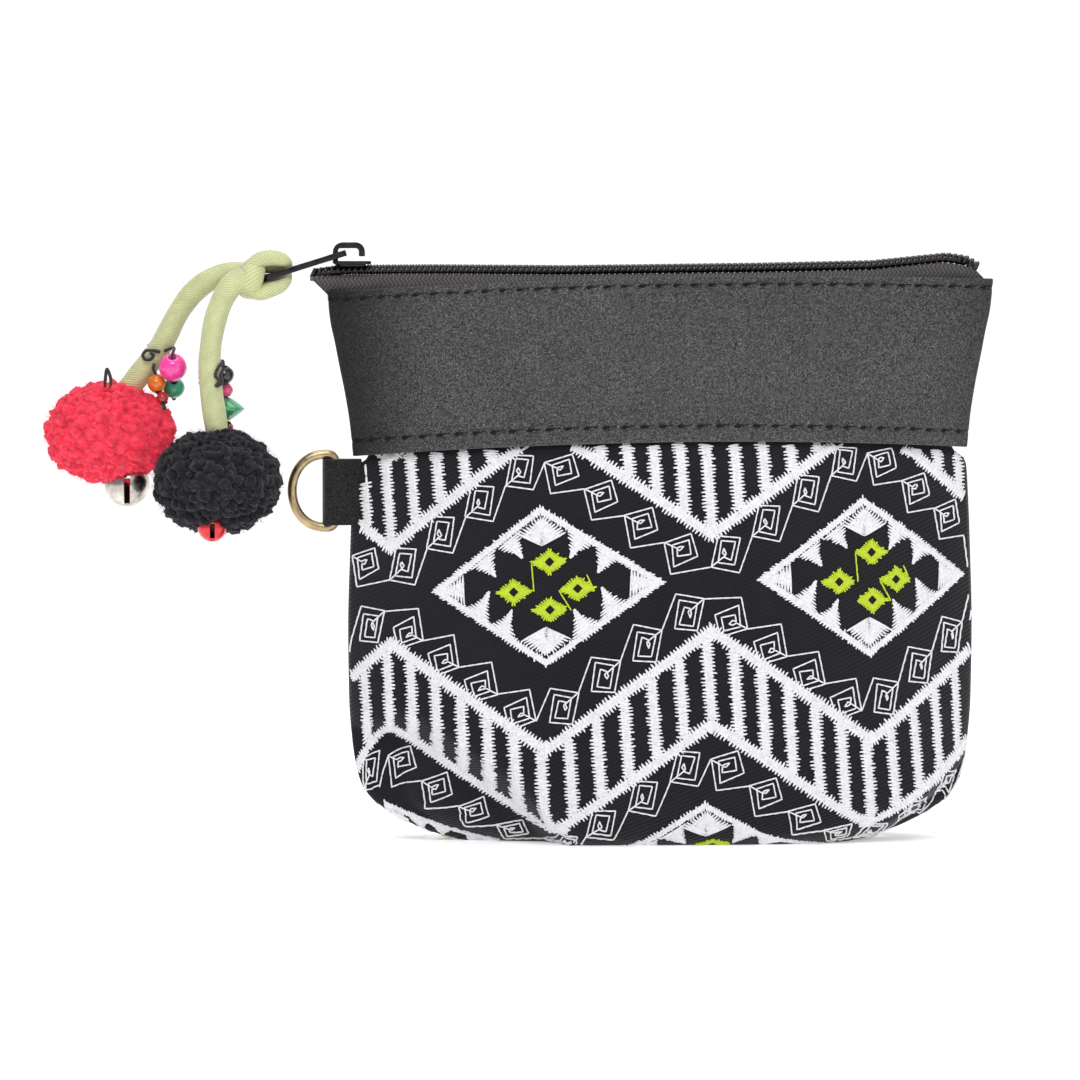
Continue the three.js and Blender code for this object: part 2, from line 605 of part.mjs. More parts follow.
function legSocket(rows) {
  const end = vectors(rows.slice(-3));
  const past = end[2].clone().add(end[2].clone().sub(end[1]).multiplyScalar(0.1));
  const reach = CORD_RADIUS + GAP;
  return tube([end[0], end[1], past], polygon(10, reach, reach), 4);
}

function bellSocket(row) {
  return new THREE.SphereGeometry(row.radius + GAP, 14, 10).translate(row.x, row.y, row.z);
}

function jingleBell(row) {
  const shell = solid(new THREE.SphereGeometry(row.radius, 12, 8));
  const hollow = solid(new THREE.SphereGeometry(row.radius - BELL_WALL, 10, 6));
  const far = row.radius + 1;
  const slot = solid(box(-row.slot / 2, row.slot / 2, -far, far, -far, -0.1 * row.radius));
  return geometryOf(shell.subtract(hollow).subtract(slot)).translate(row.x, row.y, row.z);
}

// A drilled bead: its profile is a closed loop beside the hole's axis
function bead(row) {
  const profile = [-row.half, row.half].map((along) => new THREE.Vector2(BEAD_HOLE_RADIUS, along));
  const rim = BEAD_HOLE_RADIUS + BEAD_RIM;
  const steps = row.shape === 'round' ? 5 : 4;
  for (let i = 0; i <= steps; i += 1) {
    const t = 1 - (2 * i) / steps;
    const round = Math.sqrt(1 - (t * BEAD_ROUNDNESS) ** 2);
    const bulge = row.shape === 'round' ? round : 1 - BICONE_TAPER * Math.abs(t);
    profile.push(new THREE.Vector2(Math.max(rim, row.radius * bulge), row.half * t));
  }
  profile.push(profile[0].clone());
  return aimed(facingOut(bare(new THREE.LatheGeometry(profile, BEAD_SIDES))), row);
}

function tieRing(tie) {
  const profile = [[TIE.inner, -TIE.half], [TIE.inner, TIE.half], [TIE.outer, TIE.half * 0.6],
    [TIE.outer, -TIE.half * 0.6], [TIE.inner, -TIE.half]].map((p) => new THREE.Vector2(...p));
  return aimed(facingOut(bare(new THREE.LatheGeometry(profile, 10))), tie);
}

// Thread from the tie's wall, past the points in between, through each bead in turn, with an end knot
function beadStrand(tie, between, beads, turns) {
  const points = between.map((p) => new THREE.Vector3(...p));
  const centre = new THREE.Vector3(tie.x, tie.y, tie.z);
  const axis = new THREE.Vector3(tie.ax, tie.ay, tie.az).normalize();
  const out = points[0].clone().sub(centre).projectOnPlane(axis).setLength((TIE.inner + TIE.outer) / 2);
  points.unshift(centre.add(out));
  for (const row of beads) {
    const middle = new THREE.Vector3(row.x, row.y, row.z);
    const along = new THREE.Vector3(row.ax, row.ay, row.az).setLength(row.half + END_KNOT.pastBead);
    points.push(middle.clone().sub(along), middle, middle.clone().add(along));
  }
  const end = points.at(-1).clone().sub(points.at(-2)).setLength(END_KNOT.past).add(points.at(-1));
  points.push(end);
  const blob = new THREE.SphereGeometry(END_KNOT.radius, 6, 4).translate(end.x, end.y, end.z);
  return [tube(points, polygon(5, THREAD_RADIUS, THREAD_RADIUS), turns), blob];
}

function redThread() {
  const [pink, green, amber, red] = RED_LEG_BEADS;
  const side = beadStrand(RED_TIE, [[-102.5, 0.6, 103.9]], [pink, green], 11);
  const front = beadStrand(RED_TIE, [[-106.8, 1.9, 99.4]], [amber, red], 11);
  return geometryOf(fused([tieRing(RED_TIE), ...side, ...front]));
}

function blackThread() {
  const behind = beadStrand(BLACK_TIE, [[-92.2, -0.7, 101.1]], BLACK_LEG_BEADS, 22);
  return geometryOf(fused([tieRing(BLACK_TIE), ...behind]));
}

// Assembly

const purse = new THREE.Group();

function place(group, name, geometry, color, roughness, metalness = 0) {
  const material = new THREE.MeshStandardMaterial({ color, roughness, metalness });
  const mesh = new THREE.Mesh(geometry, material);
  mesh.name = name;
  group.add(mesh);
}

const pouch = new THREE.Group();
place(pouch, 'cloth_body', clothBody(), 0x1f1d26, 0.9);
place(pouch, 'leather_front', leatherPanel(-1), 0x4c4c4c, 0.6);
place(pouch, 'leather_back', leatherPanel(1), 0x4c4c4c, 0.6);
place(pouch, 'd_ring_tab', ringTab(), 0x232323, 0.55);
place(pouch, 'd_ring', dRing(), 0x9a8358, 0.35, 1);

const zip = new THREE.Group();
place(zip, 'zip_tape_front', zipTape(-1), 0x3a363a, 0.9);
place(zip, 'zip_tape_back', zipTape(1), 0x3a363a, 0.9);
place(zip, 'zip_chain', zipChain(), 0x17151a, 0.4);
place(zip, 'zip_slider', zipSlider(), 0x1e1d20, 0.35, 0.7);
place(zip, 'zip_puller', zipPuller(), 0x1e1d20, 0.35, 0.7);

const charm = new THREE.Group();
place(charm, 'charm_knot', knot(), 0xb9bf86, 0.6);
place(charm, 'charm_cord_red', cordLeg(RED_LEG), 0xb9bf86, 0.6);
place(charm, 'charm_cord_black', cordLeg(BLACK_LEG), 0xb9bf86, 0.6);
[RED_LEG, BLACK_LEG].forEach((leg, i) => {
  const [ball, bell] = [POMPOMS[i], BELLS[i]];
  place(charm, ball.name, pompom(ball, [legSocket(leg), bellSocket(bell)]), ball.colour, 1);
  place(charm, bell.name, jingleBell(bell), bell.colour, 0.3, bell.metalness);
});
for (const row of [...RED_LEG_BEADS, ...BLACK_LEG_BEADS]) {
  place(charm, row.name, bead(row), row.colour, 0.3);
}
place(charm, 'bead_thread_red', redThread(), 0x151417, 0.9);
place(charm, 'bead_thread_black', blackThread(), 0x151417, 0.9);

purse.add(pouch, zip, charm);
export default purse;
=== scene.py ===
"""Looks of a small zip purse: embroidered cloth, leather band, coil zip, D-ring and pompom charm.

The frame is in metres, +Z up, with the purse's front towards -Y. Sizes and tables are in millimetres where
their comment says nothing else, and are turned into metres where a mesh is made.
"""

import json
import math

import bmesh
import bpy
import numpy as np
from bpy.props import FloatProperty, FloatVectorProperty, IntProperty, PointerProperty
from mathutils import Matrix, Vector


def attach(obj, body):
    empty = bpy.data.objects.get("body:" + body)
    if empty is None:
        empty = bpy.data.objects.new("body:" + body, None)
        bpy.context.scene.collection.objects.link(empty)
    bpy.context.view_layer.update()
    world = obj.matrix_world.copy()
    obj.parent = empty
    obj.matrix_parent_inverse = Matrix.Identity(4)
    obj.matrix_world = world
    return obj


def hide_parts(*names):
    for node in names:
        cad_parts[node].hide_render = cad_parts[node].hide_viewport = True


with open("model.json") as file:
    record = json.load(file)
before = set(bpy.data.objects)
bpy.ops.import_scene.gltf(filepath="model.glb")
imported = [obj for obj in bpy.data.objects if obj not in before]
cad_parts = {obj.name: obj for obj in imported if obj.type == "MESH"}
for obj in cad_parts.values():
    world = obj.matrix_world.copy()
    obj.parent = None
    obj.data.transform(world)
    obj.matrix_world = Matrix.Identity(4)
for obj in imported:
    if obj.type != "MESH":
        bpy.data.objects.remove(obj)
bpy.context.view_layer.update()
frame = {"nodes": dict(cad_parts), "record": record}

bl_info = {
    "name": "Embroidered zip purse",
    "version": (1, 0, 0),
    "blender": (4, 5, 0),
    "location": "3D View > Sidebar > Purse",
    "description": "Builds the cloth, leather, zip and charm of a small zip purse round its frame",
    "category": "Add Mesh",
}

MM = 0.001
SEED = 7
SIDES = {"front": -1, "back": 1}
BODY = "purse"
RING_BODY = "ring"
TINY = 1e-12
# A direction that no turned piece's axis runs along, and how near to Y a route is that starts from X instead
OFF_AXIS = (0.3, 0.9, 0.2)
NEAR_Y = 0.9

# Wall sections from the base up. fullness and end_power shape the outline, as in the frame's walls.
WALL_COLUMNS = ("height", "half_width", "half_depth", "fullness", "end_power")
CLOTH_SECTIONS = np.array([
    (0, 42, 14.5, 3.6, 0.45),
    (1.3, 47, 16.6, 3.5, 0.46),
    (3.2, 52, 18, 3.4, 0.48),
    (6, 57.2, 19.2, 3.2, 0.52),
    (9, 61.2, 20.2, 3.0, 0.57),
    (13, 63.6, 21, 2.8, 0.63),
    (20, 65, 21.6, 2.55, 0.72),
    (30, 65.8, 22, 2.35, 0.82),
    (45, 66, 22, 2.25, 0.9),
    (60, 65.6, 21.7, 2.2, 0.92),
    (72, 65.1, 20.8, 2.15, 0.92),
    (78.6, 64.6, 19.9, 2.1, 0.92),
    (81.4, 61.4, 18.2, 2.1, 0.92),
    (88, 62, 16.8, 2.1, 0.88),
])
TOP_HALF_WIDTH = 70.0
TOP_EDGE_HEIGHT = 117.0
BAND_EDGE_HEIGHT = 81.4
BAND_ARCH = 3.4
TOP_ARCH = 1.8
LEFT_SLUMP = 1.3
LIFT_HEIGHT = 82.0
LEATHER_SECTIONS = np.array([
    (BAND_EDGE_HEIGHT, 65, 20, 2.1, 0.92),
    (88.6, 65.7, 18.4, 2.1, 0.88),
    (95, 66.7, 15.9, 2.15, 0.8),
    (101.2, 67.9, 13, 2.25, 0.7),
    (106, 68.8, 10.8, 2.4, 0.62),
    (111, 69.8, 8.6, 2.6, 0.54),
    (TOP_EDGE_HEIGHT, 70.4, 6.9, 2.8, 0.5),
])
ROUND_SAMPLES = 481

# Folds on the front: points (x, z) of the crease, how far above and below it the cloth rolls in, and how deep
FOLD_COLUMNS = ("crease", "above", "below", "depth")
LEFT_CREASE = ((-66, 19), (-57, 22), (-51, 21.2), (-45, 17.6), (-39, 13.4), (-33, 9.6), (-28, 5), (-21, -3))
RIGHT_CREASE = ((43, -3), (47, 2.5), (56, 9.5), (61, 13), (66, 17.5))
FRONT_FOLDS = (
    (LEFT_CREASE, 6.5, 2.5, 8.5),
    (RIGHT_CREASE, 1.5, 2.5, 6.0),
)
# Height of a crease beyond its ends, and the share of the wall's depth that folds may take
NO_CREASE = -90
FOLD_LIMIT = 0.8

# Soft waves of the cloth: radians per millimetre along the width and the height, phase and depth
WAVE_COLUMNS = ("across", "up", "phase", "depth")
CLOTH_WAVES = (
    (0.118, 0.086, 1.3, 0.35),
    (-0.048, 0.106, 0.4, 0.45),
    (0.21, -0.142, 2.1, 0.18),
    (0.38, 0.04, 0.9, 0.07),
)
# The waves fade in from the side seams and the base, and out below the band
WAVE_SIDE_FADE = 14
WAVE_BASE_FADE = 12
WAVE_TOP = 84
WAVE_TOP_FADE = 10

# Cloth grid: rows below 0 run in under the base, which is domed. Heights up it are measured from one level.
BASE_HALF_DEPTH = CLOTH_SECTIONS[0, 2]
BASE_DOME = 0.45
DOME_RISE = 4
LEVEL_HEIGHT = 45.0
CLOTH_COLUMNS = 141
CLOTH_TOP = 88.0
CLOTH_ROWS = np.concatenate([
    np.linspace(-BASE_HALF_DEPTH, -1.0, 9),
    np.linspace(0, 6, 11),
    np.linspace(6.7, 30, 36),
    np.linspace(31.5, CLOTH_TOP, 46),
])
SEAM_MARGIN = 0.4
# Points closer than these, in metres, are joined in the cloth's seams and in copied metal
SEWN_DISTANCE = 2e-5
MERGED_DISTANCE = 1e-6

# Embroidery lattice, along the cloth (across) and up it. PATTERN_TILT is the rise for each step across.
PERIOD = 69.1
BACK_SHIFT = PERIOD * 0.31
ROW_STEP = 63.2
FIRST_DIAMOND = (-25.4, 53.7)
PATTERN_ROWS = range(-1, 2)
REPEATS = range(-2, 4)
PATTERN_TILT = 0.025
ZIGZAG_DROP = 34.25
ZIGZAG_RISE = 23.75
BAND_DEPTH = 19.4
STRIPES_PER_PERIOD = 12
STRIPE_START = -1.1
STRIPE_LEAN = 1.2
STRIPE_SIDES = (-1.4, 1.4)
LINE_WIDTH = 2.85
LINE_SAMPLES = 40
STRIPE_TUCK = LINE_WIDTH / 3
RAIL_SAMPLES = 9

# Stitches: spacing, how uneven they are, and sizes as (width, height) shares of one thread's width
SATIN_PITCH = 0.37
SATIN_ROUGH = 0.42
SATIN_UNEVEN = 0.18
SATIN_SIZE = (1.0, 0.75)
SATIN_WIDTH_SPREAD = (-0.2, 0.12)
FEWEST_STITCHES = 3
SHORTEST_STITCH = 0.3
UNDERLAY_SHARES = (0.3, 0.5, 0.7)
UNDERLAY_STEP = 2.6
UNDERLAY_SIZE = (1.3, 0.3)
RUNNING_STEP = 2.0
RUNNING_OVERLAP = 0.12
RUNNING_SIZE = (0.74, 0.7)

# Square spirals from the corner where the thread comes in. The last point is the corner from which it goes
# on to the next spiral.
RISING_SPIRAL = np.array([
    (0, 0), (2.9, 2.2), (2.5, 3.0), (2.8, 3.7), (3.2, 2.7), (2.7, 2.0), (4.1, 1.5), (5.0, 5.2), (2.2, 5.5),
    (1.4, 0.9), (5.1, 0.2), (6.1, 6.1), (1.4, 6.5), (0, 0), (5.9, -1.2),
])
FALLING_SPIRAL = np.array([
    (0, 0), (2.5, -1.4), (3.2, -1.0), (4.0, -1.0), (3.3, -1.8), (2.6, -1.6), (2.6, -3.0), (5.6, -2.5),
    (5.0, 0.4), (1.5, -0.6), (2.1, -5.0), (7.0, -3.1), (5.7, 1.6), (0, 0), (1.3, -6.7),
])
RISING_STEP = np.array((-8.7, -6.2))
FALLING_STEP = np.array((8.3, -5.9))
SPIRALS_PER_SIDE = 4
SPIRAL_UNEVEN = 0.16
# Where the two sides of a chain start: above a diamond (1) and, turned round, below it (-1)
SPIRAL_STARTS = {
    1: (np.array((-8.6, 21.4)), np.array((-0.2, 25.9))),
    -1: (np.array((-6.8, 22.4)), np.array((2.0, 28.0))),
}

# Diamond details from its middle: spikes as two base corners and a tip, and one quarter of its fans and ends
DIAMOND_HALF = np.array((25.0, 16.9))
DIAMOND_BORDER = 1.5
DIAMOND_TOP_SHIFT = -1.3
FAN_EDGE = ((0.3, 14.6), (5.5, 11.0))
FAN_MIDDLE = ((0.0, 12.4), (0.0, 8.6))
FAN_SHIFT_SHARE = 0.7
FAN_ROUGH = 0.25
SPIKES = np.array([
    ((4.4, 12.2), (10.3, 8.3), (5.0, 5.7)),
    ((10.2, 8.3), (15.7, 4.7), (10.8, 2.4)),
    ((17.0, -3.8), (11.4, -7.7), (11.6, -0.6)),
    ((11.2, -7.8), (5.6, -11.5), (5.8, -5.0)),
    ((-5.4, 11.7), (-10.6, 8.2), (-5.0, 6.1)),
    ((-11.0, 7.9), (-16.2, 4.4), (-10.8, 2.5)),
    ((-17.0, -3.8), (-12.2, -7.2), (-12.1, -0.5)),
    ((-11.6, -7.6), (-6.6, -10.9), (-7.3, -4.7)),
])
SPIKE_PULL = 0.45
SPIKE_WAIST = 0.42
SPIKE_ROUGH = 0.3
END_FILL = ((17.6, 3.3), (22.8, 0.1))
FLOWERS = np.array([(0.7, 5.1), (-6.9, -0.9), (6.6, -0.7), (0.8, -4.9)])
FLOWER_HALF = np.array((4.0, 2.8))
FLOWER_STEPS = 8
FLOWER_UNEVEN = (-0.1, 0.14)
FLOWER_HOLE = np.array((0.27, 0.36))
FLOWER_LINKS = (
    (np.array((-3.1, 4.9)), np.array((-2.6, -0.9))),
    (np.array((2.7, -1.0)), np.array((5.2, -5.1))),
    (np.array((8.5, 2.1)), np.array((9.6, -0.3))),
)

# One thread of length 1: rows of (along, half width, rise) and the arch of its section
THREAD_ROWS = np.array([
    (-0.5, 0.3, -0.35),
    (-0.36, 0.46, 0.25),
    (0.0, 0.5, 0.5),
    (0.36, 0.46, 0.25),
    (0.5, 0.3, -0.35),
])
THREAD_ARCH = np.array([(-1.0, -0.45), (-0.55, 0.4), (0.55, 0.4), (1.0, -0.45)])
THREAD_ARCH_RISE = 0.9
# Threads stand this far off the cloth, and are left out under the band and under the ring's tab
THREAD_LIFT = 0.1
COVERED_HEIGHT = 82.6
TAB_COVER = {"past_x": -62.3, "low": 65.5, "high": 82.0, "depth": 1.9}

# Leather band: its grid, its two stitch rows and the groove that each is pulled into
SEAM_GAP = 0.15
LEATHER_COLUMNS = 161
LEATHER_ROWS = np.linspace(BAND_EDGE_HEIGHT, TOP_EDGE_HEIGHT, 57)
TOP_ROW_HEIGHT = TOP_EDGE_HEIGHT - 1.7
LOW_ROW_HEIGHT = BAND_EDGE_HEIGHT + 3.4
ROW_END_GAP = 2.2
ROW_SAMPLES = 240
GROOVE_HALF = 0.5
GROOVE_DEPTH = 0.22
# Seam stitches: length and width by row, the share of the length where a stitch is thick, and its rise
STITCH_SIZES = {"top": (3.5, 0.78), "low": (3.6, 0.84)}
STITCH_SLANT = math.radians(7)
STITCH_STATIONS = 11
STITCH_SIDES = 6
STITCH_THICK_AT = -0.5
STITCH_THICK_SPREAD = 0.3
STITCH_THIN = 0.24
STITCH_LIFT = 0.04
STITCH_RISE = 0.16
STITCH_END_DROP = 0.5
STITCH_END_POWER = 8

# Rounded edges: width, and the least angle in degrees
ROUNDING_SEGMENTS = 2
LEATHER_ROUNDING = (0.3, 60)
TAB_ROUNDING = (0.25, 50)
TAPE_ROUNDING = (0.15, 60)
BELL_ROUNDING = (0.12, 50)
METAL_ROUNDING_ANGLE = 28
FLAT_ANGLE = math.radians(1)
METAL_SHARP_ANGLE = math.radians(40)

# D-ring: middle of its bar, wire radius, half height, reach, corner radius and the bow's squareness
RING_BAR = (-68.7, 0.0, 73.8)
RING_WIRE_RADIUS = 1.0
RING_HALF_HEIGHT = 7.7
RING_REACH = 9.0
RING_CORNER = 1.6
RING_SQUARENESS = 0.86
RING_SIDES = 20
BOW_SAMPLES = 81
CORNER_SAMPLES = 9
# Tab's outer face from the seam to the fold, (x, y), its wall and its lower and upper ends
TAB_SECTION = np.array([(-63.0, -1.2), (-65.5, -1.9), (-68.6, -2.45), (-70.6, -2.0), (-71.35, 0.0)])
TAB_WALL = 1.2
TAB_LOW = 66.6
TAB_HIGH = 80.5
TAB_GRID = (15, 48)

# Zip chain's route (x, z), as in the frame
CHAIN_ROUTE = np.array([
    (-73.3, 119.6), (-69.5, 120.1), (-66, 120.3), (-48, 120.4), (-21, 120.2), (21, 120.7),
    (44, 121.2), (59.6, 122.8), (64, 122.2), (66.2, 120.9),
])
CHAIN_SAMPLES = 220
# A coil loop's half sizes and its grid, and how far the halves of the coil are from the middle. They part at
# the left, beyond the slider.
LOOP_HALF = (0.38, 1.25, 0.8)
LOOP_GRID = (12, 5)
COIL_APART = 0.85
COIL_OPENS = 0.55
COIL_OPEN_AT = -66.0
COIL_OPEN_OVER = 5
CORE_RADIUS = 0.72
CORE_DROP = 0.3
CORE_OUT = 0.15
CORE_SIDES = 6
CORE_EVERY = 4
# Tapes: ends, wall, lower edge, and how they lie inside the leather and turn in over the rim to the chain
TAPE_START = -73.8
TAPE_END = 68.2
TAPE_STATIONS = 160
TAPE_ROWS = 14
TAPE_WALL = 0.6
TAPE_INSIDE = 1.75
TAPE_END_INSET = 0.8
TAPE_LEAST_DEPTH = 0.35
TAPE_BELOW_CHAIN = 1.05
TAPE_LEAST_HEIGHT = 0.3
FLAP_HEIGHT = 112.0
SHOULDER = 3.3
SHOULDER_SHARPNESS = 1.6
SHOULDER_STOP = 1
LIP_IN = 0.9
LEAST_RISE = 0.5
# Where the raw ends are cut on a slope, as (x, z) at the upper end and fall per millimetre outwards
LEFT_CUT = (-73.8, 118.6)
RIGHT_CUT = (65.4, 121.2)
CUT_SLOPE = 1.0
# Slider and puller: name of the piece, its node and the width of its rounded edges
SLIDER_PIECES = (("slider_body", "zip_slider", 0.22), ("slider_puller", "zip_puller", 0.25))

# Charm cord's legs and knot strand (x, y, z, radius), as in the frame
RED_LEG = np.array([
    (-87.3, 1.8, 119.3), (-90.1, 2.4, 119.4), (-92.5, 2.6, 119), (-95.6, 3, 117.7), (-98.2, 3.4, 115.6),
    (-100.4, 3.8, 112.9), (-102.1, 4.1, 110.2), (-103.6, 4.4, 107.2), (-105.1, 4.8, 104.4),
    (-107, 5.2, 101.5), (-109.5, 5.7, 98.4), (-112.2, 6.1, 95),
])
BLACK_LEG = np.array([
    (-87.6, -2, 118.7), (-90.2, -2.5, 117.2), (-92, -2.8, 114.6), (-93.2, -3.2, 111.8), (-94.1, -3.7, 108.5),
    (-94.7, -4.2, 105), (-95, -4.6, 101.4), (-94.9, -5, 97.8), (-94.6, -5.4, 94.2), (-94.1, -5.9, 90.6),
    (-93.5, -6.3, 86.4),
])
KNOT_STRAND = np.array([
    (-86.6, 1.9, 120.4, 1.8), (-84.6, 1.9, 122.3, 1.8), (-82, 1.8, 122.8, 1.8), (-79.6, 1.4, 122.3, 1.6),
    (-78.6, 0.7, 121.3, 1.2), (-78.6, 0.5, 120, 0.85), (-78.7, 0.7, 118.6, 1.2), (-79.8, 1.4, 117.2, 1.6),
    (-82, 1.8, 116.2, 1.8), (-84.6, 1.9, 115.5, 1.8), (-86.6, 1.9, 116.2, 1.8),
])
KNOT_STRAND_SHARE = 0.92
KNOT_STRAND_SAMPLES = 56
KNOT_BAND = {"x": -86.2, "z": 118.4, "across": 2.9, "tall": 2.5, "tilt": 14.0, "wide": 2.5, "thick": 1.9}
KNOT_BAND_SAMPLES = 48
KNOT_BACK = {"z": 119.6, "tall": 0.5}
CORD_SIDES = 20
CORD_SAMPLES = 60
# The cord's uneven radius: share, radians over its length and phase of each swell
CORD_SWELLS = ((0.03, 9, 0.5), (0.02, 23, 0.0))
# Widest jump across a face of a tube's UV map that isn't its seam
SEAM_JUMP = 4.0

# Pompoms: name, middle, half sizes
POMPOMS = (
    ("red", (-115.9, 6.5, 85.8), (14, 13.5, 10.9)),
    ("black", (-93.5, -6.5, 76.1), (13.7, 13.5, 11.2)),
)
CORE_INSET = 1.5
CORE_SUBDIVISIONS = 4
# Tufts: sides, rings as angles from the top, swells round them as (share, lobes, twist), and their height
TUFT_SIDES = 10
TUFT_RINGS = np.radians((145, 118, 90, 62, 34))
TUFT_SWELLS = ((0.15, 3, 1.7), (0.13, 2, -2.3))
TUFT_TALL = 1.1
TUFT_TIP = 1.12
TUFT_LEAN = math.radians(35)
TUFT_SCALES = (0.62, 1.3)
TUFTS_PER_SPACING = 3
FIBRE_LENGTH = 2.7
FIBRE_RADIUS = 0.04
FIBRE_BEND = (0.9, 0.3)
FIBRE_SCALES = (0.6, 1.1)
FIBRE_STATIONS = 4
FIBRE_SIDES = 3
FIBRE_ROOT = 1.2

# Bells: name, middle, radius, slot width
BELLS = (
    ("silver", (-112.4, 4, 75.1), 4.75, 1.2),
    ("red", (-94.6, -11.9, 66.8), 3.1, 1.0),
)
BELL_WALL = 0.7
BELL_SIDES = 40
BELL_POLE = 0.06
BELL_EQUATOR = 1.4
BELL_RINGS = 12
# The slot: share of its width that is cut, and how far up and back it reaches, in radii
SLOT_SHARE = 0.45
SLOT_TOP = 0.3
SLOT_BACK = 0.2

# Beads: name, middle, radius, half length along the hole, hole direction
BEADS = (
    ("pink", (-102.7, -0.3, 99.8), 2.95, 2.8, (0.05, 0.6, -0.8)),
    ("green", (-102.5, 4.6, 95.4), 2.3, 2.0, (0, 0.7, -0.7)),
    ("amber", (-106.1, 1.7, 96.4), 1.95, 1.8, (0.1, -0.2, -1)),
    ("red", (-104.9, 0.6, 93.3), 1.3, 1.1, (0.2, -0.5, -1)),
    ("black", (-91.9, 0.2, 98.2), 2.05, 1.8, (0.1, 0.3, -0.95)),
    ("rose", (-91.5, 1.6, 94.95), 1.45, 1.2, (0.05, 0.1, -1)),
    ("bicone", (-92.2, 2.1, 91), 4.6, 2.4, (0, 0, -1)),
    ("coral", (-91.2, 2.2, 87.1), 1.2, 1.0, (0.2, 0.7, -0.65)),
)
BEAD_SIDES = 28
BEAD_ROWS = 15
BEAD_HOLE_RADIUS = 0.85
BEAD_LEAST_RIM = 0.12
BEAD_HOLE_SHARE = 0.98
ROUND_BEAD_SHARE = 0.93
POINTED_BEAD = {"name": "bicone", "taper": 0.66, "power": 1.3}

# Thread ties round the legs: middle and direction of the leg there
RED_TIE = ((-106.35, 5.06, 102.5), (-1.9, 0.4, -2.9))
BLACK_TIE = ((-94.93, -4.92, 98.6), (0.1, -0.4, -3.6))
THREAD_RADIUS = 0.36
THREAD_SIDES = 8
THREAD_SAMPLES = 60
WRAPS = 3
WRAP_RADIUS = 2.6
WRAP_RISE = 2.3
WRAP_START = 0.55
WRAP_SAMPLES = 24
# Strings: the tie, and for each strand the points on its way and the beads that it goes through
STRINGS = {
    "red": (RED_TIE, (
        (((-102.5, 0.6, 103.9),), ("pink", "green")),
        (((-106.8, 1.9, 99.4),), ("amber", "red")),
    )),
    "black": (BLACK_TIE, (
        (((-92.2, -0.7, 101.1),), ("black", "rose", "bicone", "coral")),
    )),
}
STRING_START = 3.1
BEAD_CLEARANCE = 0.25
END_KNOT_RADIUS = 0.5
END_KNOT_ROWS = 9
END_KNOT_SIDES = 12
END_KNOT_POLE = 0.98
# Loose ends of the ties, as curls on the front of each leg and on the red pompom
CURLS = {
    "red": (
        ((-105.4, 2.2, 103), (-107.1, 2, 103.3), (-108.4, 2, 103.2), (-109, 2.1, 102.3),
         (-108.6, 2.2, 101.5), (-107.5, 2.1, 101.4), (-106.8, 2, 102.2), (-107.4, 1.8, 102.9)),
        ((-117, 3, 94.8), (-116.9, 2.6, 97.2), (-116.5, 2.4, 99.4), (-115.9, 2.5, 98), (-115.7, 2.8, 95)),
    ),
    "black": (
        ((-92.5, -6.3, 100.9), (-93.4, -7.1, 99.6), (-93.8, -7.5, 98.1), (-93, -7.4, 97.3),
         (-93.7, -7.6, 96.1), (-92.5, -7.1, 96.7), (-92.7, -7, 98.4), (-92.1, -6.6, 99.9)),
    ),
}

# Finishes: name, colour as a setting's name or screen values, how far it varies, scale of its mottling,
# least and most roughness, other values of the shader
FINISH_TABLE = (
    ("twill", "twill", 0.15, 90, (0.8, 0.95), {"Sheen Weight": 0.15, "Specular IOR Level": 0.25}),
    ("white thread", "white_thread", 0.13, 1700, (0.5, 0.65), {"Sheen Weight": 0.2}),
    ("lime thread", "lime_thread", 0.13, 1700, (0.5, 0.65), {"Sheen Weight": 0.2}),
    ("band leather", "leather", 0.12, 70, (0.5, 0.62), {"Specular IOR Level": 0.4}),
    ("cut leather edge", "leather_edge", 0.25, 900, (0.75, 0.9), {}),
    ("tab leather", (30, 30, 31), 0.2, 200, (0.34, 0.46), {"Specular IOR Level": 0.5}),
    ("cut tab edge", (58, 56, 55), 0.25, 900, (0.7, 0.9), {}),
    ("seam thread", (8, 8, 9), 0.3, 1500, (0.6, 0.75), {"Specular IOR Level": 0.25}),
    ("zip tape", "tape", 0.12, 200, (0.8, 0.92), {"Specular IOR Level": 0.3}),
    ("zip coil", "coil", 0.2, 400, (0.25, 0.38), {"Specular IOR Level": 0.6}),
    ("blackened metal", "metal", 0.3, 500, (0.25, 0.45), {"Metallic": 0.75}),
    ("antique brass", "brass", 0.35, 420, (0.22, 0.42), {"Metallic": 1.0}),
    ("cord fabric", "cord", 0.09, 300, (0.42, 0.6), {"Sheen Weight": 0.35}),
    ("red wool", "red_wool", 0.38, 420, (0.85, 1.0), {"Sheen Weight": 0.15, "Specular IOR Level": 0.1}),
    ("black wool", "black_wool", 0.38, 420, (0.85, 1.0), {"Sheen Weight": 0.15, "Specular IOR Level": 0.1}),
    ("silver bell", (190, 184, 176), 0.42, 330, (0.18, 0.32), {"Metallic": 1.0}),
    ("red bell", (214, 34, 44), 0.15, 400, (0.16, 0.3),
     {"Metallic": 0.55, "Coat Weight": 0.6, "Coat Roughness": 0.08}),
    # Near-black inside of the bells: painted shade for their hollow
    ("tarnished inside", (26, 22, 21), 0.3, 400, (0.6, 0.8), {}),
    ("black thread", (30, 28, 34), 0.3, 1500, (0.55, 0.75), {"Sheen Weight": 0.3}),
)
BEAD_COLOURS = {
    "pink": (246, 66, 160),
    "green": (66, 176, 132),
    "amber": (214, 112, 24),
    "red": (176, 30, 40),
    "black": (38, 34, 44),
    "rose": (228, 84, 136),
    "coral": (206, 44, 52),
    "bicone": (60, 164, 108),
}
BEAD_FINISH = (0.1, 500, (0.12, 0.25), {"Coat Weight": 0.5, "Coat Roughness": 0.1})
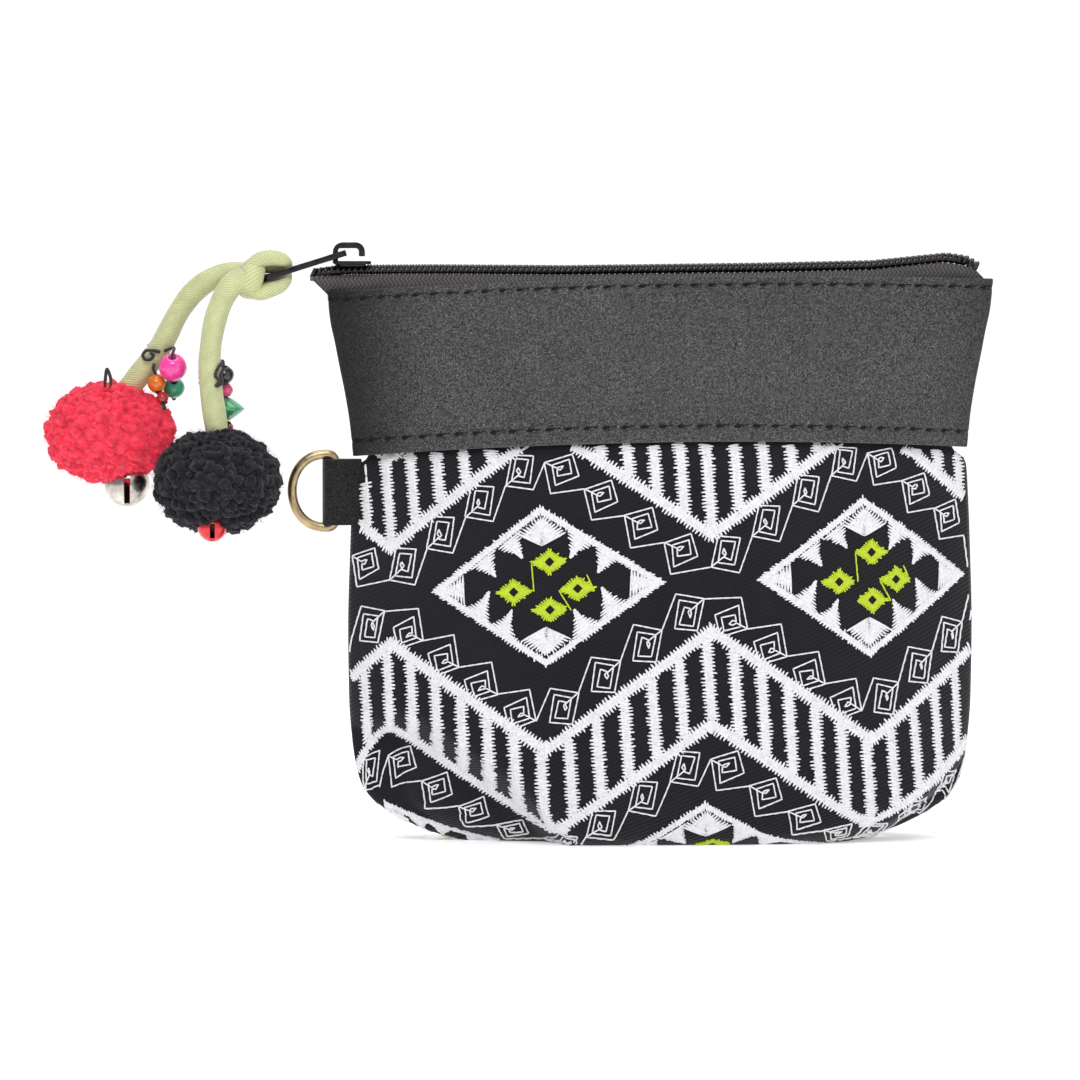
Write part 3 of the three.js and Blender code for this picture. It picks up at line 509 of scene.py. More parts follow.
# Weaves: ribs and crossing yarns as (spacing, direction in degrees), height in metres, the colour's share in
# the gaps, and the width of a herringbone's stripes in metres, far wider than the piece where it has none
NO_FOLD = 10.0
WEAVES = {
    "twill": ((0.85, 24), (0.42, 114), 0.00012, 0.55, NO_FOLD),
    "zip tape": ((0.7, 38), (0.35, 128), 0.00014, 0.35, 0.0012),
    "cord fabric": ((0.5, 32), (0.42, 118), 0.0001, 0.7, NO_FOLD),
}
# Leather: cells and wrinkles to the metre, height in metres and the creases' share of the colour
GRAINS = {
    "band leather": (2100, 1000, 0.0007, 0.36),
    "tab leather": (1700, 700, 0.0009, 0.45),
}
# Fine spots: scale, their share of the colour and how deep they are in metres
SPECKLES = {
    "band leather": (2300, 0.1, 0.0003),
    "tab leather": (2000, 0.15, 0.0006),
    "red wool": (1000, 0.6, 0.0004),
    "black wool": (1000, 0.3, 0.0004),
}
# Painted shade: the band is darker towards its ends, where it turns away from the light. Middle, start and
# end in metres, and the colour's share there
LEATHER_END_SHADE = (0.005, 0.052, 0.0755, 0.12)
# Painted light: the red wool glows in its own colour at this strength, lifting it out of the shade between
# its tufts
WOOL_PAINTED_GLOW = 0.5
BRASS_DENTS = (0.00003, 0.5)
# Values of the shared groups: a weave's swing and middle, the noises, and the part of their range used
WEAVE_SWINGS = {"Ribs": (0.5, 0.5), "Crossing": (0.2, 0.8)}
MOTTLE_NOISE = {"Detail": 4.0, "Roughness": 0.6}
MOTTLE_RANGE = (0.32, 0.68)
WRINKLE_NOISE = {"Detail": 5.0, "Distortion": 0.6}
CREASE_WIDTH = 0.22
CREASE_SHARE = 0.5

# Stage, in metres but for LOOK_AT and SENSOR. Lamps: name, place, size, power in watts
LOOK_AT = (-25.5, 0.0, 63.3)
SENSOR = 36.0
FAR_CLIP = 20.0
LAMPS = (
    ("key", (-0.2, -1.0, 1.0), 0.6, 7.5),
    ("fill", (0.7, -0.9, 0.5), 0.9, 2.2),
    ("top", (0.0, 0.1, 1.2), 1.0, 8.0),
)
WORLD_STRENGTH = 0.32
FLOOR_GLOW = 0.4
FLOOR_HALF_WIDTH = 3.0
FLOOR_FRONT = -3.0
FLOOR_BEND_START = 1.2
FLOOR_BEND_RADIUS = 0.8
FLOOR_BEND_SAMPLES = 13
FLOOR_TOP = 3.5
FLOOR_FINISH = (0.01, 3, (0.85, 0.9), {"Emission Color": (1, 1, 1, 1), "Emission Strength": FLOOR_GLOW})


def linear(red, green, blue):
    """A screen colour of 0 to 255 as the linear values that shaders use."""
    shares = np.array((red, green, blue)) / 255
    low = shares / 12.92
    high = ((shares + 0.055) / 1.055) ** 2.4
    return tuple(float(v) for v in np.where(shares <= 0.04045, low, high))


def length_value(name, description, millimetres):
    """A property that holds a length."""
    return FloatProperty(
        name=name, description=description, default=millimetres * MM, min=0.0, unit="LENGTH", precision=5
    )


def colour_value(name, description, red, green, blue):
    """A property that holds a colour, given as screen values."""
    return FloatVectorProperty(
        name=name, description=description, subtype="COLOR", size=3, min=0.0, max=1.0,
        default=linear(red, green, blue),
    )


class PursePouchSettings(bpy.types.PropertyGroup):
    """Cloth, embroidery, leather and ring"""

    cloth_wall: length_value("Cloth wall", "Thickness of the embroidered cloth", 1.2)
    leather_wall: length_value("Leather wall", "Thickness of the leather band", 1.3)
    thread_width: length_value("Thread width", "Width of one embroidery thread", 0.44)
    top_stitch: length_value("Top stitch", "Stitch spacing along the leather's top edge", 3.65)
    low_stitch: length_value("Low stitch", "Stitch spacing along the leather's lower edge", 3.85)
    twill: colour_value("Twill", "Ground cloth", 23, 20, 28)
    white_thread: colour_value("White thread", "Main embroidery thread", 228, 227, 231)
    lime_thread: colour_value("Lime thread", "Accent embroidery thread", 186, 208, 20)
    leather: colour_value("Leather", "Band leather", 142, 142, 143)
    leather_edge: colour_value("Leather edge", "Cut edge of the band", 90, 87, 84)
    brass: colour_value("Brass", "Antique brass of the ring", 172, 152, 118)


class PurseZipSettings(bpy.types.PropertyGroup):
    """Zip tapes, coil, slider and puller"""

    pitch: length_value("Coil pitch", "Distance from one coil loop to the next", 1.26)
    wire: length_value("Coil wire", "Thickness of the coil's monofilament", 0.66)
    tape: colour_value("Tape", "Woven tape", 94, 89, 92)
    coil: colour_value("Coil", "Nylon coil", 16, 15, 18)
    metal: colour_value("Metal", "Slider and puller", 40, 38, 43)


class PurseCharmSettings(bpy.types.PropertyGroup):
    """Cord, pompoms, beads and bells"""

    cord_radius: length_value("Cord radius", "Radius of the stuffed fabric cord", 2.4)
    tuft_radius: length_value("Tuft radius", "Radius of one lump of wool", 1.3)
    tuft_spacing: length_value("Tuft spacing", "Least distance between two lumps of wool", 1.65)
    fibres: IntProperty(name="Fibres", description="Loose fibres on one pompom", default=2200, min=0)
    cord: colour_value("Cord", "Silky fabric of the cord", 212, 217, 160)
    red_wool: colour_value("Red wool", "Wool of the red pompom", 255, 58, 82)
    black_wool: colour_value("Black wool", "Wool of the black pompom", 46, 44, 52)


class PurseStageSettings(bpy.types.PropertyGroup):
    """Camera, floor and lights"""

    distance: length_value("Distance", "From the camera to the purse", 1500)
    view_width: length_value("View width", "Width of the picture at the purse", 227.7)
    azimuth: FloatProperty(
        name="Azimuth", description="Camera's turn round the purse", default=math.radians(-3), subtype="ANGLE"
    )
    elevation: FloatProperty(
        name="Elevation", description="Camera's height above level", default=math.radians(3), subtype="ANGLE"
    )
    floor: colour_value("Floor", "Plain pale floor", 250, 250, 250)


# Arrays and meshes


def smoothstep(value):
    """0 below 0, 1 above 1, and a smooth rise between."""
    t = np.clip(value, 0.0, 1.0)
    return t * t * (3 - 2 * t)


def unit(vectors):
    """Vectors of length 1 in the same directions."""
    vectors = np.asarray(vectors, float)
    return vectors / np.maximum(np.linalg.norm(vectors, axis=-1, keepdims=True), TINY)


def full_turn(count):
    """Even angles round a full turn, from 0."""
    return np.arange(count) * 2 * math.pi / count


def distances(route):
    """How far along a route each of its points is."""
    return np.concatenate([[0], np.cumsum(np.linalg.norm(np.diff(route, axis=0), axis=1))])


def curve_rows(x, rows, tangents, at):
    """Rows at other values of x, on a smooth curve that has the given tangents."""
    i = np.clip(np.searchsorted(x, at, side="right") - 1, 0, len(x) - 2)
    step = (x[i + 1] - x[i])[:, None]
    t = (np.asarray(at) - x[i])[:, None] / step
    curve = rows[i] * (1 + 2 * t) * (1 - t) ** 2 + rows[i + 1] * t * t * (3 - 2 * t)
    return curve + step * t * (1 - t) * (tangents[i] * (1 - t) - tangents[i + 1] * t)


def through_rows(rows, at):
    """Rows of a table at other values of its first column, on a smooth curve that never overshoots."""
    rows = np.asarray(rows, float)
    x = rows[:, 0]
    slope = np.diff(rows, axis=0) / np.diff(x)[:, None]
    same = slope[:-1] * slope[1:] > 0
    total = np.where(same, slope[:-1] + slope[1:], 1.0)
    middle = np.where(same, 2 * slope[:-1] * slope[1:] / total, 0.0)
    return curve_rows(x, rows, np.vstack([slope[:1], middle, slope[-1:]]), at)


def smooth_route(points, count):
    """Points along a smooth curve through the given ones, at even distances."""
    points = np.asarray(points, float)
    gone = distances(points[:, :3])
    return curve_rows(gone, points, np.gradient(points, gone, axis=0), np.linspace(0, gone[-1], count))


def grid_faces(rows, columns, wrap=False, close=False):
    """Quads of a grid of points. wrap joins the last column to the first, close the last row to the first."""
    i = np.arange(rows if close else rows - 1)[:, None]
    j = np.arange(columns if wrap else columns - 1)[None, :]
    above = (i + 1) % rows
    after = (j + 1) % columns
    corners = (i * columns + j, i * columns + after, above * columns + after, above * columns + j)
    return np.stack([np.broadcast_to(c, (i.size, j.size)) for c in corners], axis=-1).reshape(-1, 4)


def add_object(name, data):
    """A new object in the scene."""
    piece = bpy.data.objects.new(name, data)
    bpy.context.scene.collection.objects.link(piece)
    return piece


def mesh_piece(name, points, faces, *materials, uv=None):
    """A smooth-shaded mesh object from points in millimetres. uv holds metres for each point."""
    mesh = bpy.data.meshes.new(name)
    mesh.from_pydata((np.asarray(points, float) * MM).tolist(), [], [list(map(int, f)) for f in faces])
    if uv is not None:
        corner_points = np.empty(len(mesh.loops), np.int32)
        mesh.loops.foreach_get("vertex_index", corner_points)
        layer = mesh.uv_layers.new(name="Lay")
        layer.uv.foreach_set("vector", np.asarray(uv, np.float32)[corner_points].ravel())
    mesh.shade_smooth()
    for material in materials:
        mesh.materials.append(material)
    return add_object(name, mesh)


def guide_piece(name, points, edges=(), **vectors):
    """Loose points or edges, from points in millimetres, with named vectors on the points."""
    mesh = bpy.data.meshes.new(name)
    mesh.from_pydata((np.asarray(points, float) * MM).tolist(), edges, [])
    for layer_name, values in vectors.items():
        layer = mesh.attributes.new(layer_name, "FLOAT_VECTOR", "POINT")
        layer.data.foreach_set("vector", np.asarray(values, np.float32).ravel())
    return add_object(name, mesh)


def edit_mesh(piece, change):
    """Run a change on the piece's mesh through bmesh."""
    shape = bmesh.new()
    shape.from_mesh(piece.data)
    change(shape)
    shape.to_mesh(piece.data)
    shape.free()
    return piece


def face_out(piece):
    """Turn the faces of a closed mesh outwards."""
    return edit_mesh(piece, lambda shape: bmesh.ops.recalc_face_normals(shape, faces=shape.faces))


def settle(piece):
    """Turn the piece's evaluated shape into a plain mesh and remove its modifiers."""
    graph = bpy.context.evaluated_depsgraph_get()
    mesh = bpy.data.meshes.new_from_object(piece.evaluated_get(graph))
    piece.modifiers.clear()
    piece.data = mesh
    return piece


def drop(piece):
    """Remove a helper object and its mesh."""
    mesh = piece.data
    bpy.data.objects.remove(piece)
    bpy.data.meshes.remove(mesh)


def thicken(piece, thickness, rim_material=0, inner_material=0):
    """Give a sheet its wall, in metres, inwards from the face that shows."""
    wall = piece.modifiers.new("Wall", "SOLIDIFY")
    wall.thickness = thickness
    wall.offset = -1.0
    wall.use_even_offset = False
    wall.material_offset_rim = rim_material
    wall.material_offset = inner_material


def round_edges(piece, width, angle):
    """Round the edges that are sharper than an angle in degrees."""
    bevel = piece.modifiers.new("Rounding", "BEVEL")
    bevel.width = width * MM
    bevel.segments = ROUNDING_SEGMENTS
    bevel.limit_method = "ANGLE"
    bevel.angle_limit = math.radians(angle)
    bevel.harden_normals = False


def walled(piece, thickness, rounding, **materials):
    """A sheet with its wall, in metres, and rounded edges, as a plain mesh."""
    thicken(piece, thickness, **materials)
    round_edges(piece, *rounding)
    return settle(piece)


def dress(piece, slot, *nodes, body=BODY):
    """Make a finished piece ride on its body and stand for its nodes. The slot is not used."""
    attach(piece, body)
    if nodes:
        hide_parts(*nodes)
    return piece


def route_frames(route, closed=False):
    """Tangent, normal and binormal at each point of a route, with no twist between them."""
    ahead = np.roll(route, -1, axis=0)
    behind = np.roll(route, 1, axis=0)
    tangents = ahead - behind
    if not closed:
        tangents[0] = route[1] - route[0]
        tangents[-1] = route[-1] - route[-2]
    tangents = unit(tangents)
    start = np.array((0.0, 1.0, 0.0)) if abs(tangents[0][1]) < NEAR_Y else np.array((1.0, 0.0, 0.0))
    normals = np.empty_like(tangents)
    for k, tangent in enumerate(tangents):
        last = start if k == 0 else normals[k - 1]
        normals[k] = unit(last - tangent * last.dot(tangent))
    return tangents, normals, np.cross(tangents, normals)


def sweep(route, radii, sides, closed=False, turn=0.0):
    """Points, faces and UVs of a tube. radii: one number, one for each point, or two for an oval."""
    route = np.asarray(route, float)
    count = len(route)
    radii = np.asarray(radii, float)
    if radii.ndim < 2:
        radii = np.repeat(np.broadcast_to(radii, (count,))[:, None], 2, axis=1)
    _, normals, binormals = route_frames(route, closed)
    angles = turn + full_turn(sides)
    ring = normals[:, None, :] * (radii[:, :1] * np.cos(angles))[:, :, None]
    ring = ring + binormals[:, None, :] * (radii[:, 1:] * np.sin(angles))[:, :, None]
    points = (route[:, None, :] + ring).reshape(-1, 3)
    around = np.broadcast_to(angles * radii.mean(), (count, sides))
    along = np.broadcast_to(distances(route)[:, None], (count, sides))
    uv = np.stack([around, along], axis=-1).reshape(-1, 2) * MM
    faces = grid_faces(count, sides, wrap=True, close=closed).tolist()
    if not closed:
        faces.append(list(range(sides))[::-1])
        faces.append([(count - 1) * sides + i for i in range(sides)])
    return points, faces, uv


def joined(name, parts, material, uv=None):
    """One mesh object from several (points, faces) shapes, its faces pointing out. uv is for all points."""
    faces, start = [], 0
    for part_points, part_faces in parts:
        faces += [[start + int(i) for i in face] for face in part_faces]
        start += len(part_points)
    points = np.vstack([part_points for part_points, _ in parts])
    return face_out(mesh_piece(name, points, faces, material, uv=uv))


def tube_piece(name, route, radii, sides, material, closed=False):
    """A tube along a route, its faces pointing out."""
    points, faces, uv = sweep(route, radii, sides, closed)
    return joined(name, [(points, faces)], material, uv=uv)


def close_seam(piece, sides):
    """Let the faces across a tube's seam read its UV past the full turn, not back to its start."""
    layer = piece.data.uv_layers["Lay"].uv
    for face in piece.data.polygons:
        corners = [layer[i] for i in face.loop_indices]
        across = [corner.vector.x for corner in corners]
        span = max(across) - min(across)
        if len(corners) != 4 or span < SEAM_JUMP * MM:
            continue
        for corner in corners:
            if corner.vector.x < min(across) + span / 2:
                corner.vector.x += span * sides / (sides - 1)


def turned(profile, sides, middle, direction):
    """Points and faces of a closed profile of (radius, along) rows turned round a direction."""
    axis = unit(direction)
    side = unit(np.cross(axis, OFF_AXIS))
    other = np.cross(axis, side)
    angles = full_turn(sides)
    profile = np.asarray(profile, float)
    ring = side[None, :] * np.cos(angles)[:, None] + other[None, :] * np.sin(angles)[:, None]
    points = profile[:, None, :1] * ring[None, :, :] + profile[:, None, 1:] * axis[None, None, :]
    faces = grid_faces(len(profile), sides, wrap=True, close=True).tolist()
    return (points + np.asarray(middle, float)).reshape(-1, 3), faces


# Node trees


def set_inputs(tree, node, inputs):
    """Link a node's inputs to sockets or set them to values, by socket name or number."""
    for socket, value in inputs.items():
        if isinstance(value, bpy.types.NodeSocket):
            tree.links.new(value, node.inputs[socket])
        else:
            node.inputs[socket].default_value = value


def add_node(tree, kind, inputs, **settings):
    """A new node with its settings made and its inputs linked or set."""
    node = tree.nodes.new(kind)
    for name, value in settings.items():
        setattr(node, name, value)
    set_inputs(tree, node, inputs)
    return node


def math_node(tree, operation, *values):
    """The output of a math node on sockets or numbers."""
    return add_node(tree, "ShaderNodeMath", dict(enumerate(values)), operation=operation).outputs[0]


def new_group(name, kind, inputs, outputs):
    """An empty node tree, its input sockets and its end. inputs and outputs: {name: kind of socket}."""
    tree = bpy.data.node_groups.new(name, kind)
    for in_out, sockets in (("INPUT", inputs), ("OUTPUT", outputs)):
        for socket, socket_kind in sockets.items():
            tree.interface.new_socket(socket, in_out=in_out, socket_type="NodeSocket" + socket_kind)
    return tree, tree.nodes.new("NodeGroupInput").outputs, tree.nodes.new("NodeGroupOutput")


# Geometry trees


def new_tree(name, inputs):
    """An empty geometry tree with a geometry in and out, and the named inputs."""
    return new_group(name, "GeometryNodeTree", {"Geometry": "Geometry", **inputs}, {"Geometry": "Geometry"})


def finish_tree(tree, given, end, instances, extra=None):
    """End a tree: realize the instances, add what else there is, and set the material."""
    shape = add_node(tree, "GeometryNodeRealizeInstances", {"Geometry": instances}).outputs["Geometry"]
    if extra is not None:
        join = add_node(tree, "GeometryNodeJoinGeometry", {"Geometry": extra})
        set_inputs(tree, join, {"Geometry": shape})
        shape = join.outputs["Geometry"]
    smooth = add_node(tree, "GeometryNodeSetShadeSmooth", {"Geometry": shape}).outputs["Geometry"]
    paint = add_node(tree, "GeometryNodeSetMaterial", {"Geometry": smooth, "Material": given["Material"]})
    set_inputs(tree, end, {"Geometry": paint.outputs["Geometry"]})
    return tree


def run_tree(piece, tree, values):
    """Put the tree on a piece with its inputs set, and turn the result into a plain mesh."""
    modifier = piece.modifiers.new(tree.name, "NODES")
    modifier.node_group = tree
    for item in tree.interface.items_tree:
        if item.item_type == "SOCKET" and item.in_out == "INPUT" and item.name in values:
            modifier[item.identifier] = values[item.name]
    return settle(piece)


def point_vector(tree, name):
    """The output of a named vector on the points."""
    node = add_node(tree, "GeometryNodeInputNamedAttribute", {"Name": name}, data_type="FLOAT_VECTOR")
    return node.outputs["Attribute"]


def aimed(tree, axis, direction, second_axis, second_direction):
    """A rotation that turns an axis to a direction, and a second one as near as it goes to another."""
    node = add_node(
        tree, "FunctionNodeAxesToRotation", {"Primary Axis": direction, "Secondary Axis": second_direction},
        primary_axis=axis, secondary_axis=second_axis,
    )
    return node.outputs["Rotation"]


def turned_on(tree, rotation, angles):
    """A rotation turned further round its own axes."""
    inputs = {"Rotation": rotation, "Rotate By": angles}
    node = add_node(tree, "FunctionNodeRotateRotation", inputs, rotation_space="LOCAL")
    return node.outputs["Rotation"]


def copies_on(tree, points, piece, **inputs):
    """Copies of an object on points. inputs are their Rotation and Scale."""
    info = add_node(tree, "GeometryNodeObjectInfo", {"Object": piece})
    inputs = {"Points": points, "Instance": info.outputs["Geometry"], **inputs}
    return add_node(tree, "GeometryNodeInstanceOnPoints", inputs).outputs["Instances"]


def laid_threads_tree():
    """One thread on each point, with its direction, its up and its size read from the point."""
    tree, given, end = new_tree(
        "Laid threads", {"Thread": "Object", "Width": "Float", "Material": "Material"}
    )
    widths = add_node(tree, "ShaderNodeCombineXYZ", {"X": 1.0, "Y": given["Width"], "Z": given["Width"]})
    factors = {0: point_vector(tree, "size"), 1: widths.outputs["Vector"]}
    scale = add_node(tree, "ShaderNodeVectorMath", factors, operation="MULTIPLY")
    aim = aimed(tree, "X", point_vector(tree, "along"), "Z", point_vector(tree, "up"))
    threads = copies_on(
        tree, given["Geometry"], given["Thread"], Rotation=aim, Scale=scale.outputs["Vector"]
    )
    return finish_tree(tree, given, end, threads)


def row_tree():
    """Copies at even distances along a line of edges, turned with it, their Z up along the line's up."""
    tree, given, end = new_tree(
        "Row along a line", {"Unit": "Object", "Spacing": "Float", "Slant": "Float", "Material": "Material"}
    )
    curve = add_node(tree, "GeometryNodeMeshToCurve", {"Mesh": given["Geometry"]}).outputs["Curve"]
    spaced = add_node(
        tree, "GeometryNodeResampleCurve", {"Curve": curve, "Length": given["Spacing"]}, mode="LENGTH"
    )
    tangent = add_node(tree, "GeometryNodeInputTangent", {}).outputs["Tangent"]
    slant = add_node(tree, "ShaderNodeCombineXYZ", {"Z": given["Slant"]}).outputs["Vector"]
    turn = turned_on(tree, aimed(tree, "Z", point_vector(tree, "up"), "X", tangent), slant)
    units = copies_on(tree, spaced.outputs["Curve"], given["Unit"], Rotation=turn)
    return finish_tree(tree, given, end, units)


def pile_tree():
    """Tufts packed on a core and loose fibres between them, turned at random from its normal."""
    tree, given, end = new_tree("Wool pile", {
        "Tuft": "Object", "Fibre": "Object", "Tuft spacing": "Float", "Tuft density": "Float",
        "Fibre density": "Float", "Lean": "Float", "Seed": "Int", "Material": "Material",
    })
    core = given["Geometry"]
    both = add_node(tree, "GeometryNodeJoinGeometry", {})
    tuft_amounts = {"Distance Min": given["Tuft spacing"], "Density Max": given["Tuft density"]}
    for offset, (what, method, amounts, (least, most)) in enumerate((
        ("Fibre", "RANDOM", {"Density": given["Fibre density"]}, FIBRE_SCALES),
        ("Tuft", "POISSON", tuft_amounts, TUFT_SCALES),
    )):
        seed = math_node(tree, "ADD", given["Seed"], float(offset))
        spread = add_node(
            tree, "GeometryNodeDistributePointsOnFaces", {"Mesh": core, **amounts, "Seed": seed},
            distribute_method=method,
        )
        normal = spread.outputs["Normal"]
        aim = add_node(tree, "FunctionNodeAlignRotationToVector", {"Vector": normal}, axis="Z")
        limits = {}
        for limit, sign in (("Min", -1), ("Max", 1)):
            lean = math_node(tree, "MULTIPLY", given["Lean"], float(sign))
            angles = add_node(tree, "ShaderNodeCombineXYZ", {"X": lean, "Y": lean, "Z": sign * math.pi})
            limits[limit] = angles.outputs["Vector"]
        limits["Seed"] = given["Seed"]
        angles = add_node(tree, "FunctionNodeRandomValue", limits, data_type="FLOAT_VECTOR")
        turn = turned_on(tree, aim.outputs["Rotation"], angles.outputs["Value"])
        size = add_node(tree, "FunctionNodeRandomValue", {"Min": least, "Max": most, "Seed": seed})
        copies = copies_on(
            tree, spread.outputs["Points"], given[what], Rotation=turn, Scale=size.outputs[1]
        )
        set_inputs(tree, both, {"Geometry": copies})
    return finish_tree(tree, given, end, both.outputs["Geometry"], core)


def row_along(name, tree, unit_piece, route, ups, spacing, slant, material):
    """Copies of a unit in a row along a route, with the direction that is up at each of its points."""
    edges = [(i, i + 1) for i in range(len(route) - 1)]
    values = {"Unit": unit_piece, "Spacing": spacing, "Slant": slant, "Material": material}
    return run_tree(guide_piece(name, route, edges, up=ups), tree, values)


# Shader groups and materials


def mottle_group():
    """Two colours mixed by soft noise, with the noise as a mask."""
    group, given, end = new_group(
        "Mottle", "ShaderNodeTree", {"Vector": "Vector", "Scale": "Float", "Dark": "Color", "Light": "Color"},
        {"Colour": "Color", "Mask": "Float"},
    )
    place = {"Vector": given["Vector"], "Scale": given["Scale"]}
    noise = add_node(group, "ShaderNodeTexNoise", {**place, **MOTTLE_NOISE}).outputs["Fac"]
    least, most = MOTTLE_RANGE
    spread = add_node(group, "ShaderNodeMapRange", {"Value": noise, "From Min": least, "From Max": most})
    mask = spread.outputs["Result"]
    tones = {"Factor": mask, "A": given["Dark"], "B": given["Light"]}
    mix = add_node(group, "ShaderNodeMix", tones, data_type="RGBA")
    set_inputs(group, end, {"Colour": mix.outputs["Result"], "Mask": mask})


def weave_group():
    """Ribs of a woven cloth. Ribs and Crossing are phase turns per metre, Fold the herringbone's width."""
    group, given, end = new_group(
        "Weave", "ShaderNodeTree",
        {"Vector": "Vector", "Ribs": "Vector", "Crossing": "Vector", "Fold": "Float"}, {"Height": "Float"},
    )
    split = add_node(group, "ShaderNodeSeparateXYZ", {"Vector": given["Vector"]}).outputs
    folded = math_node(group, "PINGPONG", math_node(group, "ADD", split["X"], 1.0), given["Fold"])
    place = add_node(group, "ShaderNodeCombineXYZ", {"X": folded, "Y": split["Y"]}).outputs["Vector"]
    levels = []
    for name, (swing, middle) in WEAVE_SWINGS.items():
        turns = add_node(group, "ShaderNodeVectorMath", {0: place, 1: given[name]}, operation="DOT_PRODUCT")
        wave = math_node(group, "SINE", math_node(group, "MULTIPLY", turns.outputs["Value"], 2 * math.pi))
        levels.append(math_node(group, "MULTIPLY_ADD", wave, swing, middle))
    set_inputs(group, end, {"Height": math_node(group, "MULTIPLY", *levels)})


def grain_group():
    """Leather grain: small cells with creases between them, and longer wrinkles."""
    group, given, end = new_group(
        "Leather grain", "ShaderNodeTree", {"Vector": "Vector", "Cells": "Float", "Wrinkles": "Float"},
        {"Height": "Float", "Crease": "Float"},
    )
    place = {"Vector": given["Vector"]}
    cells = add_node(
        group, "ShaderNodeTexVoronoi", {**place, "Scale": given["Cells"], "Randomness": 1.0},
        feature="DISTANCE_TO_EDGE",
    ).outputs["Distance"]
    spread = add_node(group, "ShaderNodeMapRange", {"Value": cells, "From Max": CREASE_WIDTH})
    crease = spread.outputs["Result"]
    wrinkles = add_node(
        group, "ShaderNodeTexNoise", {**place, **WRINKLE_NOISE, "Scale": given["Wrinkles"]}
    )
    height = math_node(group, "MULTIPLY_ADD", crease, CREASE_SHARE, wrinkles.outputs["Fac"])
    set_inputs(group, end, {"Height": height, "Crease": crease})


class Finish:
    """A material being made: a Principled shader, a mottled colour and the groups placed on it."""

    def __init__(self, name, colour, spread, scale, roughness, sockets):
        self.material = bpy.data.materials.new(name)
        self.material.use_nodes = True
        self.tree = self.material.node_tree
        self.shader = self.tree.nodes["Principled BSDF"]
        self.place = self.tree.nodes.new("ShaderNodeTexCoord").outputs
        colour = np.asarray(colour[:3], float)
        dark, light = ((*np.clip(colour * share, 0, 1), 1) for share in (1 - spread, 1 + spread))
        mottle = self.group("Mottle", "Object", Scale=scale, Dark=dark, Light=light)
        self.mask = mottle["Mask"]
        self.colour = mottle["Colour"]
        rough = {"Value": self.mask, "To Min": roughness[0], "To Max": roughness[1]}
        rough = self.add("ShaderNodeMapRange", rough)["Result"]
        self.set({"Base Color": self.colour, "Roughness": rough, **sockets})

    def add(self, kind, inputs, **settings):
        """Outputs of a new node."""
        return add_node(self.tree, kind, inputs, **settings).outputs

    def set(self, inputs):
        """Link or set inputs of the shader."""
        set_inputs(self.tree, self.shader, inputs)

    def group(self, name, place, **inputs):
        """Outputs of a shared group that reads Object or UV coordinates."""
        inputs["Vector"] = self.place[place]
        return self.add("ShaderNodeGroup", inputs, node_tree=bpy.data.node_groups[name])

    def bump(self, height, distance, strength=1.0):
        """Raise the surface by a height in metres, on top of any bump already there."""
        inputs = {"Distance": distance, "Strength": strength, "Height": height}
        normal = self.shader.inputs["Normal"]
        if normal.is_linked:
            inputs["Normal"] = normal.links[0].from_socket
        self.set({"Normal": self.add("ShaderNodeBump", inputs)["Normal"]})

    def shade(self, mask, dark):
        """Multiply the colour down to dark where the mask is 0."""
        level = self.add("ShaderNodeMapRange", {"Value": mask, "To Min": dark})["Result"]
        inputs = {"Factor": 1.0, "A": self.colour, "B": level}
        mix = self.add("ShaderNodeMix", inputs, data_type="RGBA", blend_type="MULTIPLY")
        self.colour = mix["Result"]
        self.set({"Base Color": self.colour})

    def weave(self, ribs, crossing, distance, dark, fold):
        """Lay a weave along the UV map. ribs and crossing are (spacing, direction in degrees)."""
        turns = {}
        for name, (spacing, degrees) in (("Ribs", ribs), ("Crossing", crossing)):
            across = math.radians(degrees + 90)
            per_metre = 1 / (spacing * MM)
            turns[name] = (per_metre * math.cos(across), per_metre * math.sin(across), 0)
        height = self.group("Weave", "UV", Fold=fold, **turns)["Height"]
        self.bump(height, distance)
        self.shade(height, dark)

    def grain(self, cells, wrinkles, distance, dark):
        """Lay leather grain over the surface."""
        grain = self.group("Leather grain", "Object", Cells=cells, Wrinkles=wrinkles)
        self.bump(grain["Height"], distance)
        self.shade(grain["Crease"], dark)

    def speckle(self, scale, dark, distance):
        """Multiply the colour down to dark in fine soft spots, sunk by a distance in metres."""
        spots = self.group("Mottle", "Object", Scale=scale)["Mask"]
        self.bump(spots, distance)
        self.shade(spots, dark)

    def paint_end_shade(self, middle, start, end, dark):
        """Paint shade: multiply the colour down to dark from start to end metres to either side of the
        middle.
        """
        x = self.add("ShaderNodeSeparateXYZ", {"Vector": self.place["Object"]})["X"]
        away = math_node(self.tree, "ABSOLUTE", math_node(self.tree, "SUBTRACT", x, middle))
        inputs = {"From Min": end, "From Max": start, "Value": away}
        level = self.add("ShaderNodeMapRange", inputs, interpolation_type="SMOOTHSTEP")["Result"]
        self.shade(level, dark)


